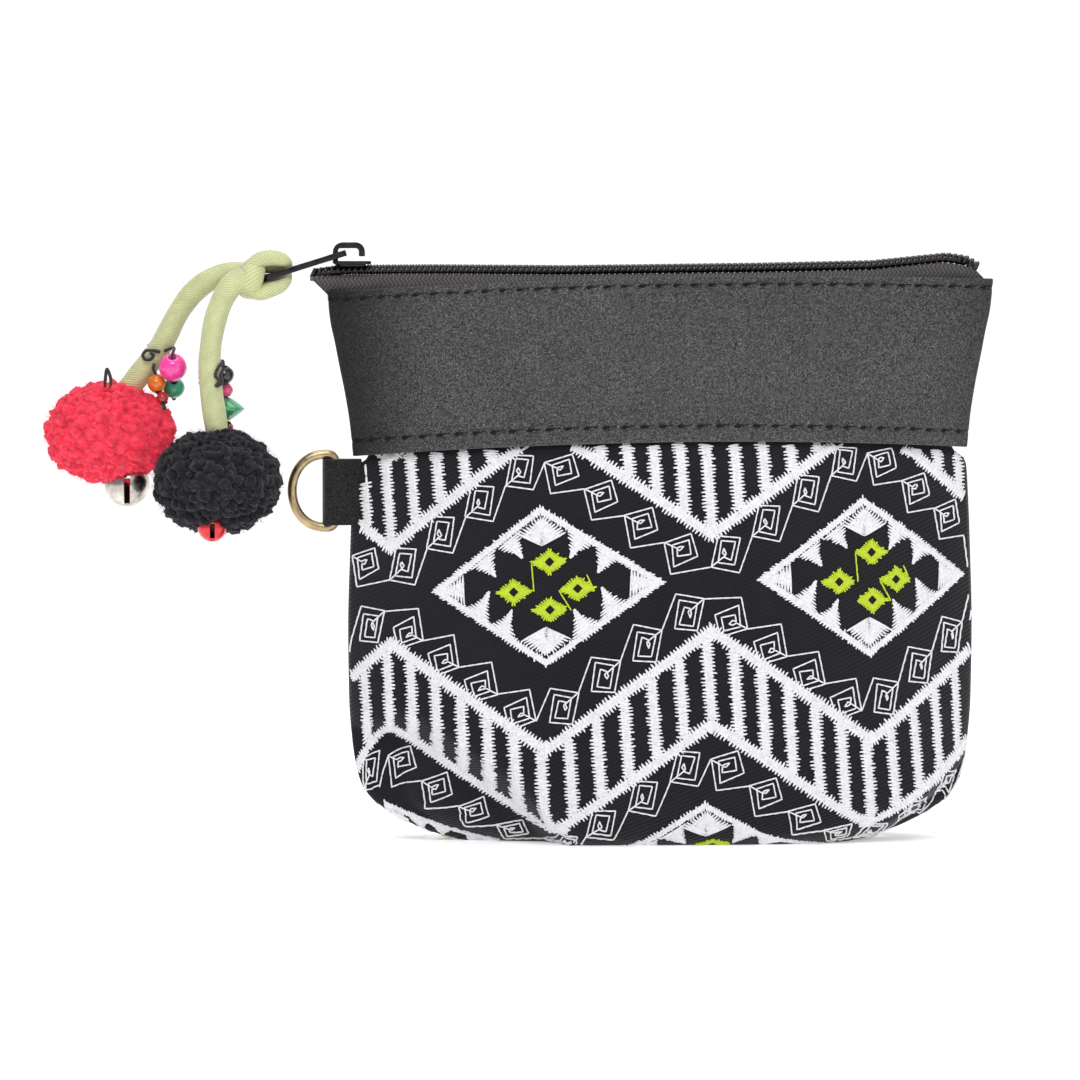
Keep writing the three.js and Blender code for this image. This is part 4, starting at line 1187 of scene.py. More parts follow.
def make_finishes(*settings):
    """Every material, by its name in the tables, with the colours that the settings hold."""
    for build in (mottle_group, weave_group, grain_group):
        build()
    finishes = {}
    for name, colour, *values in FINISH_TABLE:
        if isinstance(colour, str):
            colour = next(getattr(group, colour) for group in settings if hasattr(group, colour))
        else:
            colour = linear(*colour)
        finishes[name] = Finish(name.capitalize(), colour, *values)
    for name, screen in BEAD_COLOURS.items():
        finishes[name + " bead"] = Finish(name.capitalize() + " bead", linear(*screen), *BEAD_FINISH)
    for name, weave in WEAVES.items():
        finishes[name].weave(*weave)
    for name, grain in GRAINS.items():
        finishes[name].grain(*grain)
    for name, spots in SPECKLES.items():
        finishes[name].speckle(*spots)
    # Painted shade towards the ends of the band
    finishes["band leather"].paint_end_shade(*LEATHER_END_SHADE)
    brass = finishes["antique brass"]
    brass.bump(brass.mask, *BRASS_DENTS)
    wool = finishes["red wool"]
    # Painted light: the red wool glows in its own colour
    wool.set({"Emission Color": wool.colour, "Emission Strength": WOOL_PAINTED_GLOW})
    return {name: finish.material for name, finish in finishes.items()}


# Purse wall


def lift(x, height):
    """The top edge arches in the middle, and the left end has slumped."""
    across = x / TOP_HALF_WIDTH
    slump = LEFT_SLUMP * (height / TOP_EDGE_HEIGHT) * across
    up = np.clip((height - BAND_EDGE_HEIGHT) / (TOP_EDGE_HEIGHT - BAND_EDGE_HEIGHT), 0.0, 1.0)
    arch = BAND_ARCH + (TOP_ARCH - BAND_ARCH) * up
    return smoothstep(height / LIFT_HEIGHT) * (arch * (1 - across * across) + slump)


def front_fold(x, z):
    """How far the front sinks in under its folds."""
    sunk = np.zeros_like(x)
    for row in FRONT_FOLDS:
        fold = dict(zip(FOLD_COLUMNS, row))
        crease = np.array(fold["crease"], float)
        level = np.interp(x, crease[:, 0], crease[:, 1], left=NO_CREASE, right=NO_CREASE)
        down = level + fold["above"] - z
        sunk += fold["depth"] * smoothstep(down / (fold["above"] + fold["below"]))
    return sunk


def cloth_waves(x, z, side):
    """Soft swells of the cloth, none at the seams, the base and the band."""
    depth = np.zeros_like(x)
    for row in CLOTH_WAVES:
        wave = dict(zip(WAVE_COLUMNS, row))
        depth += wave["depth"] * np.sin(wave["across"] * x + wave["up"] * z + wave["phase"] + side)
    return depth


class WallSide:
    """One panel's outer face, sampled evenly by arc length round the purse, row by row up its height."""

    def __init__(self, sections, heights, side, columns, soft):
        self.heights = np.asarray(heights, float)
        self.columns = columns
        up = np.maximum(self.heights, 0.0)
        row = dict(zip(WALL_COLUMNS, through_rows(sections, up).T[:, :, None]))
        half_width = row["half_width"]
        share = np.linspace(-1, 1, ROUND_SAMPLES)[None, :]
        x = half_width * np.sin(math.pi / 2 * share)
        bulge = np.maximum(1 - np.abs(x / half_width) ** row["fullness"], 0) ** row["end_power"]
        y = row["half_depth"] * bulge
        steps = np.hypot(np.diff(x), np.diff(y))
        gone = np.concatenate([np.zeros((len(up), 1)), np.cumsum(steps, axis=1)], axis=1)
        self.half = gone[:, -1] / 2
        wanted = np.linspace(0, 1, columns)[None, :] * gone[:, -1:]
        x, y = (np.array([np.interp(w, g, v) for w, g, v in zip(wanted, gone, values)]) for values in (x, y))
        z = np.broadcast_to(up[:, None], x.shape)
        if soft:
            y = self.softened(x, y, z, half_width, side)
        under = np.maximum(1 + self.heights / BASE_HALF_DEPTH, 0.0)[:, None]
        flat = np.minimum(under, 1.0)
        z = z + lift(x, z) + BASE_DOME * smoothstep((1 - flat) * DOME_RISE)
        self.points = np.stack([x, side * y * flat, z], axis=-1)
        across = np.gradient(self.points, axis=1)
        upward = np.gradient(self.points, axis=0)
        self.normals = unit(np.cross(across, upward)) * -side
        self.laid = np.broadcast_to(self.heights[:, None], x.shape)
        if soft:
            steps = np.linalg.norm(np.diff(self.points, axis=0), axis=2)
            gone = np.vstack([np.zeros((1, columns)), np.cumsum(steps, axis=0)])
            level = np.array([np.interp(LEVEL_HEIGHT, self.heights, column) for column in gone.T])
            self.laid = gone - level + LEVEL_HEIGHT

    @staticmethod
    def softened(x, y, z, half_width, side):
        """The wall's depth with the folds of the front and the soft waves."""
        if side < 0:
            y = y - np.minimum(front_fold(x, z), FOLD_LIMIT * y)
        inner = smoothstep((half_width - np.abs(x)) / WAVE_SIDE_FADE) * smoothstep(z / WAVE_BASE_FADE)
        inner = inner * smoothstep((WAVE_TOP - z) / WAVE_TOP_FADE)
        return y + inner * cloth_waves(x, z, side)

    def at(self, across, height):
        """Places and normals on the face, and whether they are on the panel, for arrays of pattern places.

        Heights are measured over the surface, so a pattern keeps its size where the wall curves or folds.
        """
        rows = np.arange(len(self.heights))
        row = np.interp(height, self.heights, rows)
        for _ in range(2):
            half = np.interp(row, rows, self.half)
            column = (np.clip(across / half, -1, 1) + 1) / 2 * (self.columns - 1)
            near = np.rint(column).astype(int)
            row = np.array([np.interp(h, self.laid[:, k], rows) for h, k in zip(height, near)])
        i = np.clip(row.astype(int), 0, len(self.heights) - 2)
        j = np.clip(column.astype(int), 0, self.columns - 2)
        s, t = (row - i)[:, None], (column - j)[:, None]

        def blend(grid):
            low = grid[i, j] * (1 - t) + grid[i, j + 1] * t
            high = grid[i + 1, j] * (1 - t) + grid[i + 1, j + 1] * t
            return low * (1 - s) + high * s

        inside = (height > self.laid[0, near]) & (height < self.laid[-1, near])
        inside &= np.abs(across) < half - SEAM_MARGIN
        return blend(self.points), unit(blend(self.normals)), inside

    def uv(self):
        """Arc length and height of each point, in metres."""
        across = np.linspace(-1, 1, self.columns)[None, :] * self.half[:, None]
        return np.stack([across, self.laid], axis=-1).reshape(-1, 2) * MM


def sheet_faces(rows, columns, side):
    """Quads of a panel's grid that face out on the front (-1) or the back (+1)."""
    faces = grid_faces(rows, columns)
    return faces if side < 0 else faces[:, ::-1]


def cloth_side(side):
    """The front (-1) or back (+1) of the cloth."""
    return WallSide(CLOTH_SECTIONS, CLOTH_ROWS, side, CLOTH_COLUMNS, soft=True)


def make_cloth(pouch, looks):
    """The pouch: two panels sewn at the sides and under the base, with the cloth's own wall."""
    panels = [cloth_side(side) for side in SIDES.values()]
    points = np.vstack([panel.points.reshape(-1, 3) for panel in panels])
    uv = np.vstack([panel.uv() for panel in panels])
    front, back = (sheet_faces(len(CLOTH_ROWS), CLOTH_COLUMNS, side) for side in SIDES.values())
    faces = np.vstack([front, back + len(CLOTH_ROWS) * CLOTH_COLUMNS])
    piece = mesh_piece("embroidered_cloth", points, faces, looks["twill"], uv=uv)

    def sew(shape):
        bmesh.ops.remove_doubles(shape, verts=shape.verts, dist=SEWN_DISTANCE)
        bmesh.ops.recalc_face_normals(shape, faces=shape.faces)

    edit_mesh(piece, sew)
    thicken(piece, pouch.cloth_wall)
    dress(settle(piece), "embroidered_twill", "cloth_body")


# Embroidery


def along_rail(rail, shares):
    """Points at shares from 0 to 1 of a rail's points."""
    rail = np.asarray(rail, float)
    at = np.asarray(shares) * (len(rail) - 1)
    return np.stack([np.interp(at, np.arange(len(rail)), rail[:, k]) for k in (0, 1)], axis=-1)


def curved_rail(start, control, end):
    """A rail that bends from start to end, pulled towards control."""
    t = np.linspace(0, 1, RAIL_SAMPLES)[:, None]
    return np.asarray(start) * (1 - t) ** 2 + np.asarray(control) * 2 * t * (1 - t) + np.asarray(end) * t * t


class Stitches:
    """Threads to lay: both ends of each in pattern millimetres, its width and how far it stands up."""

    def __init__(self):
        self.rows = []
        self.random = np.random.default_rng(SEED)

    def add(self, start, end, width, height):
        self.rows.append((*start, *end, width, height))

    def fill(self, first, second, rough=SATIN_ROUGH):
        """Satin stitches to and fro between two rails, over lines of underlay."""
        rails = [np.asarray(rail, float) for rail in (first, second)]
        long = max(float(np.sum(np.linalg.norm(np.diff(rail, axis=0), axis=1))) for rail in rails)
        count = max(FEWEST_STITCHES, int(long / SATIN_PITCH))
        shares = np.linspace(0, 1, count + 1)
        shares[1:-1] += self.random.uniform(-SATIN_UNEVEN, SATIN_UNEVEN, count - 1) / count
        sides = [along_rail(rail, shares) for rail in rails]
        width, height = SATIN_SIZE
        for k in range(count):
            start, end = sides[k % 2][k], sides[1 - k % 2][k + 1]
            over = (end - start) / max(float(np.linalg.norm(end - start)), SHORTEST_STITCH)
            start = start - over * self.random.uniform(-rough, rough)
            end = end + over * self.random.uniform(-rough, rough)
            self.add(start, end, width + self.random.uniform(*SATIN_WIDTH_SPREAD), height)
        places = np.linspace(0, 1, max(2, int(long / UNDERLAY_STEP) + 1))
        for share in UNDERLAY_SHARES:
            route = along_rail(rails[0], places) * (1 - share) + along_rail(rails[1], places) * share
            for start, end in zip(route[:-1], route[1:]):
                self.add(start, end, *UNDERLAY_SIZE)

    def running(self, route):
        """Single stitches end to end along a route."""
        route = np.asarray(route, float)
        for start, end in zip(route[:-1], route[1:]):
            parts = max(1, round(float(np.linalg.norm(end - start)) / RUNNING_STEP))
            over = RUNNING_OVERLAP * unit(end - start)
            for k in range(parts):
                first = start + (end - start) * (k / parts) - over
                last = start + (end - start) * ((k + 1) / parts) + over
                self.add(first, last, *RUNNING_SIZE)

    def line(self, start, end, width):
        """A satin line with square stitches in its run and upright mitres at both ends."""
        start, end = np.asarray(start, float), np.asarray(end, float)
        long = float(np.linalg.norm(end - start))
        along = (end - start) / long
        out = np.array((-along[1], along[0])) * width / 2
        mitre = out[0] / along[0]
        at = np.linspace(-abs(mitre), long + abs(mitre), LINE_SAMPLES)[:, None]
        first = start + out + along * np.clip(at, -mitre, long - mitre)
        second = start - out + along * np.clip(at, mitre, long + mitre)
        self.fill(first, second)


def zigzag(row_height, across, middle):
    """Height of a band's upper line: lowest below a diamond, highest between two."""
    phase = (np.asarray(across) - middle) / PERIOD % 1.0
    rise = 1 - np.abs(1 - 2 * phase)
    return float(row_height - ZIGZAG_DROP + ZIGZAG_RISE * rise)


def spiral_chain(white, middle, turn):
    """The linked spirals above a diamond, or below it with turn -1."""
    middle = np.asarray(middle, float)
    rising_start, falling_start = SPIRAL_STARTS[turn]
    rising = [rising_start + RISING_STEP * k for k in range(SPIRALS_PER_SIDE)]
    falling = [falling_start + FALLING_STEP * k for k in range(SPIRALS_PER_SIDE)]
    corners = rising[::-1] + falling
    after = corners[1:] + [rising[-1] + np.array((PERIOD, 0.0))]
    for k, (corner, following) in enumerate(zip(corners, after)):
        shape = RISING_SPIRAL if k < SPIRALS_PER_SIDE else FALLING_SPIRAL
        uneven = white.random.uniform(-SPIRAL_UNEVEN, SPIRAL_UNEVEN, shape.shape)
        uneven[0] = 0
        route = np.vstack([corner + shape + uneven, following])
        white.running(middle + route * turn)


def spike(white, middle, corners):
    """A pointed fill that narrows quickly from its base to its tip."""
    first, second, tip = corners
    base = (first + second) / 2
    pulled = base * (1 - SPIKE_PULL) + tip * SPIKE_PULL
    rails = [middle + curved_rail(c, pulled + (c - base) * SPIKE_WAIST, tip) for c in (first, second)]
    white.fill(*rails, rough=SPIKE_ROUGH)


def diamond_edges(half, top_shift=0.0):
    """The four edges of a diamond round its middle, as pairs of tips."""
    wide, tall = half
    tips = np.array([(-wide, 0), (top_shift, tall), (wide, 0), (0, -tall), (-wide, 0)])
    return zip(tips[:-1], tips[1:])


def diamond(white, lime, middle):
    """A diamond with a satin border, spikes that leave dark petals between them, and four lime flowers."""
    middle = np.asarray(middle, float)
    wide, tall = DIAMOND_HALF
    inset = 1 - DIAMOND_BORDER * math.hypot(wide, tall) / (wide * tall)
    for start, end in diamond_edges(DIAMOND_HALF, DIAMOND_TOP_SHIFT):
        white.fill([middle + start, middle + end], [middle + start * inset, middle + end * inset])
    for up in (-1, 1):
        shift = np.array((max(up, 0) * DIAMOND_TOP_SHIFT * FAN_SHIFT_SHARE, 0))
        for across in (-1, 1):
            rails = [middle + shift + np.array(rail) * (across, up) for rail in (FAN_EDGE, FAN_MIDDLE)]
            white.fill(*rails, rough=FAN_ROUGH)
    for corners in SPIKES:
        spike(white, middle, corners)
    for across in (-1, 1):
        rails = [[middle + np.array(p) * (across, up) for p in END_FILL] for up in (-1, 1)]
        white.fill(*rails, rough=FAN_ROUGH)
    for flower in FLOWERS:
        lime_flower(lime, middle + flower)
    for start, end in FLOWER_LINKS:
        lime.running([middle + start, middle + end])


def lime_flower(lime, middle):
    """A small diamond of stitches that run from its edge to a dark middle."""
    for start, end in diamond_edges(FLOWER_HALF):
        for k in range(FLOWER_STEPS):
            edge = start + (end - start) * ((k + 0.5) / FLOWER_STEPS)
            outer = edge * (1 + lime.random.uniform(*FLOWER_UNEVEN))
            lime.add(middle + outer, middle + edge * FLOWER_HOLE, *SATIN_SIZE)


def pattern_panel(shift):
    """White and lime threads of one panel, its lattice moved sideways by shift."""
    white, lime = Stitches(), Stitches()
    first_across, first_height = FIRST_DIAMOND
    for row in PATTERN_ROWS:
        row_height = first_height + row * ROW_STEP
        start = first_across + shift + (PERIOD / 2 if row % 2 else 0)
        for k in REPEATS:
            middle = (start + k * PERIOD, row_height)
            diamond(white, lime, middle)
            for turn in (-1, 1):
                spiral_chain(white, middle, turn)
        corners = [start + (k / 2) * PERIOD for k in range(2 * REPEATS.start, 2 * REPEATS.stop - 1)]
        for deep in (0, BAND_DEPTH):
            route = [(across, zigzag(row_height, across, start) - deep) for across in corners]
            for first, last in zip(route[:-1], route[1:]):
                white.line(first, last, LINE_WIDTH)
        begin, stop = (k * STRIPES_PER_PERIOD for k in (REPEATS.start, REPEATS.stop - 1))
        stripes = np.arange(begin, stop) * PERIOD / STRIPES_PER_PERIOD
        for stripe in stripes + start + STRIPE_START:
            top = zigzag(row_height, stripe, start) - STRIPE_TUCK
            low = zigzag(row_height, stripe + STRIPE_LEAN, start) - BAND_DEPTH + STRIPE_TUCK
            rails = [[(stripe + side, top), (stripe + STRIPE_LEAN + side, low)] for side in STRIPE_SIDES]
            white.fill(*rails)
    return white, lime


def lay_threads(name, stitches, side, tree, values):
    """Lay the threads on one side of the cloth, but for those past its seams or under leather."""
    rows = np.array(stitches.rows)
    panel = cloth_side(side)
    ends = [(rows[:, k], rows[:, k + 1] + PATTERN_TILT * rows[:, k]) for k in (0, 2)]
    middle = [(first + last) / 2 for first, last in zip(*ends)]
    start, _, start_in = panel.at(*ends[0])
    end, _, end_in = panel.at(*ends[1])
    place, up, _ = panel.at(*middle)
    under_tab = (place[:, 0] < TAB_COVER["past_x"]) & (np.abs(place[:, 1]) < TAB_COVER["depth"])
    under_tab &= (place[:, 2] > TAB_COVER["low"]) & (place[:, 2] < TAB_COVER["high"])
    kept = start_in & end_in & (middle[1] < COVERED_HEIGHT) & ~under_tab
    along = (end - start)[kept]
    size = np.column_stack([np.linalg.norm(along, axis=1) * MM, rows[kept, 4], rows[kept, 5]])
    piece = guide_piece(name, (place + up * THREAD_LIFT)[kept], along=along, up=up[kept], size=size)
    return run_tree(piece, tree, values)


def thread_unit(name):
    """A thread that lies along X, 1 long and 1 wide, arched over and with its ends down in the cloth."""
    points = [
        (along, half * across, rise + THREAD_ARCH_RISE * up)
        for along, half, rise in THREAD_ROWS
        for across, up in THREAD_ARCH
    ]
    faces = grid_faces(len(THREAD_ROWS), len(THREAD_ARCH))
    return mesh_piece(name, np.array(points) / MM, faces)


def make_embroidery(pouch, looks):
    """Satin lines, stripes, diamonds and spirals on the front and the back."""
    tree = laid_threads_tree()
    thread = thread_unit("thread_unit")
    for side_name, shift in (("front", 0.0), ("back", BACK_SHIFT)):
        for colour, stitches in zip(("white", "lime"), pattern_panel(shift)):
            values = {"Thread": thread, "Width": pouch.thread_width, "Material": looks[f"{colour} thread"]}
            name = f"embroidery_{colour}_{side_name}"
            dress(lay_threads(name, stitches, SIDES[side_name], tree, values), "embroidered_twill")
    drop(thread)


# Leather band


def leather_side(side):
    """The front (-1) or back (+1) leather panel, pressed in along its stitch rows."""
    panel = WallSide(LEATHER_SECTIONS, LEATHER_ROWS, side, LEATHER_COLUMNS, soft=False)
    panel.points[..., 1] += side * SEAM_GAP
    rows = panel.heights[:, None]
    for middle in (TOP_ROW_HEIGHT, LOW_ROW_HEIGHT):
        groove = GROOVE_DEPTH * smoothstep(1 - np.abs(rows - middle) / GROOVE_HALF)
        panel.points -= panel.normals * groove[..., None]
    return panel


def seam_stitch(name, length, width):
    """One seam stitch along X: a thread pulled in, thick where it leaves its hole."""
    share = np.linspace(-1, 1, STITCH_STATIONS)
    thick = np.exp(-((share - STITCH_THICK_AT) / STITCH_THICK_SPREAD) ** 2)
    height = STITCH_LIFT + STITCH_RISE * thick - STITCH_END_DROP * np.abs(share) ** STITCH_END_POWER
    route = np.column_stack([share * length / 2, np.zeros(STITCH_STATIONS), height])
    radii = width / 2 * (STITCH_THIN + (1 - STITCH_THIN) * thick)
    points, faces, _ = sweep(route, radii, STITCH_SIDES)
    return mesh_piece(name, points, faces)


def make_leather(pouch, looks):
    """Both panels of the band, with their two rows of stitches."""
    tree = row_tree()
    units = {row: seam_stitch(f"{row}_stitch_unit", *size) for row, size in STITCH_SIZES.items()}
    for name, side in SIDES.items():
        panel = leather_side(side)
        faces = sheet_faces(len(LEATHER_ROWS), LEATHER_COLUMNS, side)
        piece = mesh_piece(
            f"leather_band_{name}", panel.points.reshape(-1, 3), faces, looks["band leather"],
            looks["cut leather edge"], uv=panel.uv(),
        )
        walled(piece, pouch.leather_wall, LEATHER_ROUNDING, rim_material=1)
        dress(piece, "band_leather", f"leather_{name}")
        for row, height, spacing in (
            ("top", TOP_ROW_HEIGHT, pouch.top_stitch),
            ("low", LOW_ROW_HEIGHT, pouch.low_stitch),
        ):
            half = np.interp(height, panel.heights, panel.half) - ROW_END_GAP
            place, up, _ = panel.at(np.linspace(-half, half, ROW_SAMPLES), np.full(ROW_SAMPLES, height))
            seam = row_along(
                f"seam_{row}_{name}", tree, units[row], place, up, spacing, STITCH_SLANT, looks["seam thread"]
            )
            dress(seam, "band_leather")
    for unit_piece in units.values():
        drop(unit_piece)


# Ring and tab


def make_ring(looks):
    """The D-ring of bent wire and the tab folded round its bar."""
    bar_x, _, bar_z = RING_BAR
    turn = np.linspace(0, math.pi, BOW_SAMPLES)
    bow_x = bar_x - RING_CORNER - (RING_REACH - RING_CORNER) * np.sin(turn) ** RING_SQUARENESS
    bow = np.column_stack([bow_x, bar_z + RING_HALF_HEIGHT * np.cos(turn)])
    corner = np.linspace(0, math.pi / 2, CORNER_SAMPLES)[1:]
    low = np.column_stack([
        bar_x - RING_CORNER + RING_CORNER * np.sin(corner),
        bar_z - RING_HALF_HEIGHT + RING_CORNER * (1 - np.cos(corner)),
    ])
    high = low[::-1] * (1, -1) + (0, 2 * bar_z)
    route = np.insert(np.vstack([bow, low, high[:-1]]), 1, 0.0, axis=1)
    ring = tube_piece("d_ring_wire", route, RING_WIRE_RADIUS, RING_SIDES, looks["antique brass"], closed=True)
    dress(ring, "antique_brass", "d_ring", body=RING_BODY)
    rows, columns = TAB_GRID
    section = smooth_route(np.vstack([TAB_SECTION, TAB_SECTION[-2::-1] * (1, -1)]), columns)
    points = [(x, y, z) for z in np.linspace(TAB_LOW, TAB_HIGH, rows) for x, y in section]
    faces = grid_faces(rows, columns)[:, ::-1]
    tab = mesh_piece("ring_tab_leather", points, faces, looks["tab leather"], looks["cut tab edge"])
    walled(tab, TAB_WALL * MM, TAB_ROUNDING, rim_material=1)
    dress(tab, "tab_leather", "d_ring_tab")


# Zip


def chain_height(x):
    """Height of the zip chain's middle."""
    return np.interp(x, CHAIN_ROUTE[:, 0], CHAIN_ROUTE[:, 1])


def tape_depth(stations, height):
    """How far a tape lies from the middle, just inside the leather at a height."""
    _, half_width, half_depth, fullness, end_power = through_rows(LEATHER_SECTIONS, np.array([height]))[0]
    across = np.minimum(1, np.abs(stations) / (half_width - TAPE_END_INSET))
    return np.maximum(TAPE_LEAST_DEPTH, (half_depth - TAPE_INSIDE) * (1 - across ** fullness) ** end_power)


def make_tapes(looks):
    """The two woven tapes, from behind the leather up to the chain, their ends cut on a slope."""
    stations = np.linspace(TAPE_START, TAPE_END, TAPE_STATIONS)
    rim = TOP_EDGE_HEIGHT + lift(stations, TOP_EDGE_HEIGHT)
    top = chain_height(stations) - TAPE_BELOW_CHAIN
    top = np.where(stations > RIGHT_CUT[0], RIGHT_CUT[1] - CUT_SLOPE * (stations - RIGHT_CUT[0]), top)
    low = np.maximum(rim + FLAP_HEIGHT - TOP_EDGE_HEIGHT, LEFT_CUT[1] - CUT_SLOPE * (stations - LEFT_CUT[0]))
    low = np.minimum(low, top - TAPE_LEAST_HEIGHT)
    z = low + (top - low) * np.linspace(0, 1, TAPE_ROWS)[:, None]
    over = smoothstep((z - rim) / np.maximum(top - rim, LEAST_RISE) * SHOULDER_SHARPNESS)
    over = over * (stations < RIGHT_CUT[0] - SHOULDER_STOP)
    flap, edge = (tape_depth(stations, height) for height in (FLAP_HEIGHT, TOP_EDGE_HEIGHT))
    y = flap + (edge - flap) * np.clip((z - low) / np.maximum(rim - low, LEAST_RISE), 0, 1)
    y = y + (SHOULDER - y) * over
    y[-1] -= LIP_IN * over[-1]
    x = np.broadcast_to(stations, z.shape)
    uv = np.stack([z, x], axis=-1).reshape(-1, 2) * MM
    for name, side in SIDES.items():
        points = np.stack([x, side * y, z], axis=-1).reshape(-1, 3)
        faces = sheet_faces(TAPE_ROWS, TAPE_STATIONS, side)
        piece = mesh_piece(f"zip_tape_{name}_cloth", points, faces, looks["zip tape"], uv=uv)
        dress(walled(piece, TAPE_WALL * MM, TAPE_ROUNDING), "zip_tape", f"zip_tape_{name}")


def coil_loop(name, wire):
    """One loop of a coil half: an oval of round wire that leans along the chain."""
    stations, sides = LOOP_GRID
    turn = full_turn(stations)
    route = np.column_stack([np.sin(turn), np.cos(turn), np.sin(turn)]) * LOOP_HALF
    points, faces, _ = sweep(route, wire / 2, sides, closed=True)
    return mesh_piece(name, points, faces)


def make_coil(zip_settings, looks):
    """The chain: two rows of coil loops that mesh, running as two halves left of the slider."""
    tree = row_tree()
    loop = coil_loop("coil_loop_unit", zip_settings.wire / MM)
    x = np.linspace(CHAIN_ROUTE[0, 0], CHAIN_ROUTE[-1, 0], CHAIN_SAMPLES)
    apart = COIL_APART + COIL_OPENS * smoothstep((COIL_OPEN_AT - x) / COIL_OPEN_OVER)
    ups = np.tile((0.0, 0.0, 1.0), (CHAIN_SAMPLES, 1))
    cores = []
    for (name, side), start in zip(SIDES.items(), (0.0, zip_settings.pitch / MM / 2)):
        route = np.column_stack([x + start, side * apart, chain_height(x)])
        row = row_along(f"coil_{name}", tree, loop, route, ups, zip_settings.pitch, 0.0, looks["zip coil"])
        dress(row, "zip_coil")
        route = np.column_stack([x, side * (apart + CORE_OUT), chain_height(x) - CORE_DROP])[::CORE_EVERY]
        cores.append(sweep(route, CORE_RADIUS, CORE_SIDES)[:2])
    drop(loop)
    dress(joined("coil_core", cores, looks["zip coil"]), "zip_coil", "zip_chain")


def make_slider(looks):
    """The slider and its puller, with rounded edges."""
    for name, node, rounding in SLIDER_PIECES:
        piece = add_object(name, frame["nodes"][node].data.copy())
        piece.data.materials.clear()
        piece.data.materials.append(looks["blackened metal"])

        def clean(shape):
            bmesh.ops.remove_doubles(shape, verts=shape.verts, dist=MERGED_DISTANCE)
            bmesh.ops.dissolve_limit(shape, angle_limit=FLAT_ANGLE, verts=shape.verts, edges=shape.edges)

        edit_mesh(piece, clean)
        piece.data.shade_smooth()
        round_edges(piece, rounding, METAL_ROUNDING_ANGLE)
        settle(piece)
        piece.data.set_sharp_from_angle(angle=METAL_SHARP_ANGLE)
        dress(piece, "black_metal", node)


# Charm


def leg_radii(count, radius):
    """A stuffed tube's radius along its length: slightly uneven."""
    share = np.linspace(0, 1, count)
    return radius * (1 + sum(size * np.sin(turns * share + phase) for size, turns, phase in CORD_SWELLS))


def make_legs(charm, looks):
    """The two stuffed legs of the charm cord."""
    radii = leg_radii(CORD_SAMPLES, charm.cord_radius / MM)
    for name, leg in (("red", RED_LEG), ("black", BLACK_LEG)):
        route = smooth_route(leg, CORD_SAMPLES)
        piece = tube_piece(f"cord_leg_{name}", route, radii, CORD_SIDES, looks["cord fabric"])
        close_seam(piece, CORD_SIDES)
        dress(piece, "olive_cord", f"charm_cord_{name}")


def make_knot(looks):
    """The lark's head: two strands through the puller and a band round them."""
    parts = []
    for side in (-1, 1):
        strand = KNOT_STRAND * (1, side, 1, 1)
        if side > 0:
            strand[:, 2] = KNOT_BACK["z"] + (strand[:, 2] - KNOT_BACK["z"]) * KNOT_BACK["tall"]
        route = smooth_route(strand, KNOT_STRAND_SAMPLES)
        parts.append(sweep(route[:, :3], route[:, 3] * KNOT_STRAND_SHARE, CORD_SIDES))
    tilt = math.radians(KNOT_BAND["tilt"])
    turn = full_turn(KNOT_BAND_SAMPLES)
    across = KNOT_BAND["across"] * np.cos(turn)
    tall = KNOT_BAND["tall"] * np.sin(turn)
    band = np.column_stack([
        KNOT_BAND["x"] + tall * math.sin(tilt), across, KNOT_BAND["z"] + tall * math.cos(tilt),
    ])
    sizes = np.tile((KNOT_BAND["thick"], KNOT_BAND["wide"]), (KNOT_BAND_SAMPLES, 1))
    parts.append(sweep(band, sizes, CORD_SIDES, closed=True, turn=math.pi))
    uv = np.vstack([part[2] for part in parts])
    piece = joined("cord_knot", [part[:2] for part in parts], looks["cord fabric"], uv=uv)
    close_seam(piece, CORD_SIDES)
    dress(piece, "olive_cord", "charm_knot")


def tuft_unit(name, radius):
    """One lump of curled wool that stands on Z: an uneven ball, open where it sits in the core."""
    angles = full_turn(TUFT_SIDES)
    points = []
    for polar in TUFT_RINGS:
        swells = sum(size * np.cos(lobes * angles + twist * polar) for size, lobes, twist in TUFT_SWELLS)
        radii = radius * (1 + swells)
        flat = radii * math.sin(polar)
        ring = [flat * np.cos(angles), flat * np.sin(angles), TUFT_TALL * radii * math.cos(polar)]
        points += np.column_stack(ring).tolist()
    points.append((0, 0, TUFT_TIP * radius))
    faces = grid_faces(len(TUFT_RINGS), TUFT_SIDES, wrap=True).tolist()
    last = (len(TUFT_RINGS) - 1) * TUFT_SIDES
    faces += [[last + i, last + (i + 1) % TUFT_SIDES, len(points) - 1] for i in range(TUFT_SIDES)]
    return mesh_piece(name, points, faces)


def fibre_unit(name):
    """One loose fibre along Z, a thin three-sided strand with a bend."""
    share = np.linspace(0, 1, FIBRE_STATIONS)
    route = np.column_stack([FIBRE_BEND[0] * share ** 2, FIBRE_BEND[1] * share, share * FIBRE_LENGTH])
    points, faces, _ = sweep(route, FIBRE_RADIUS * (FIBRE_ROOT - share), FIBRE_SIDES)
    return mesh_piece(name, points, faces)


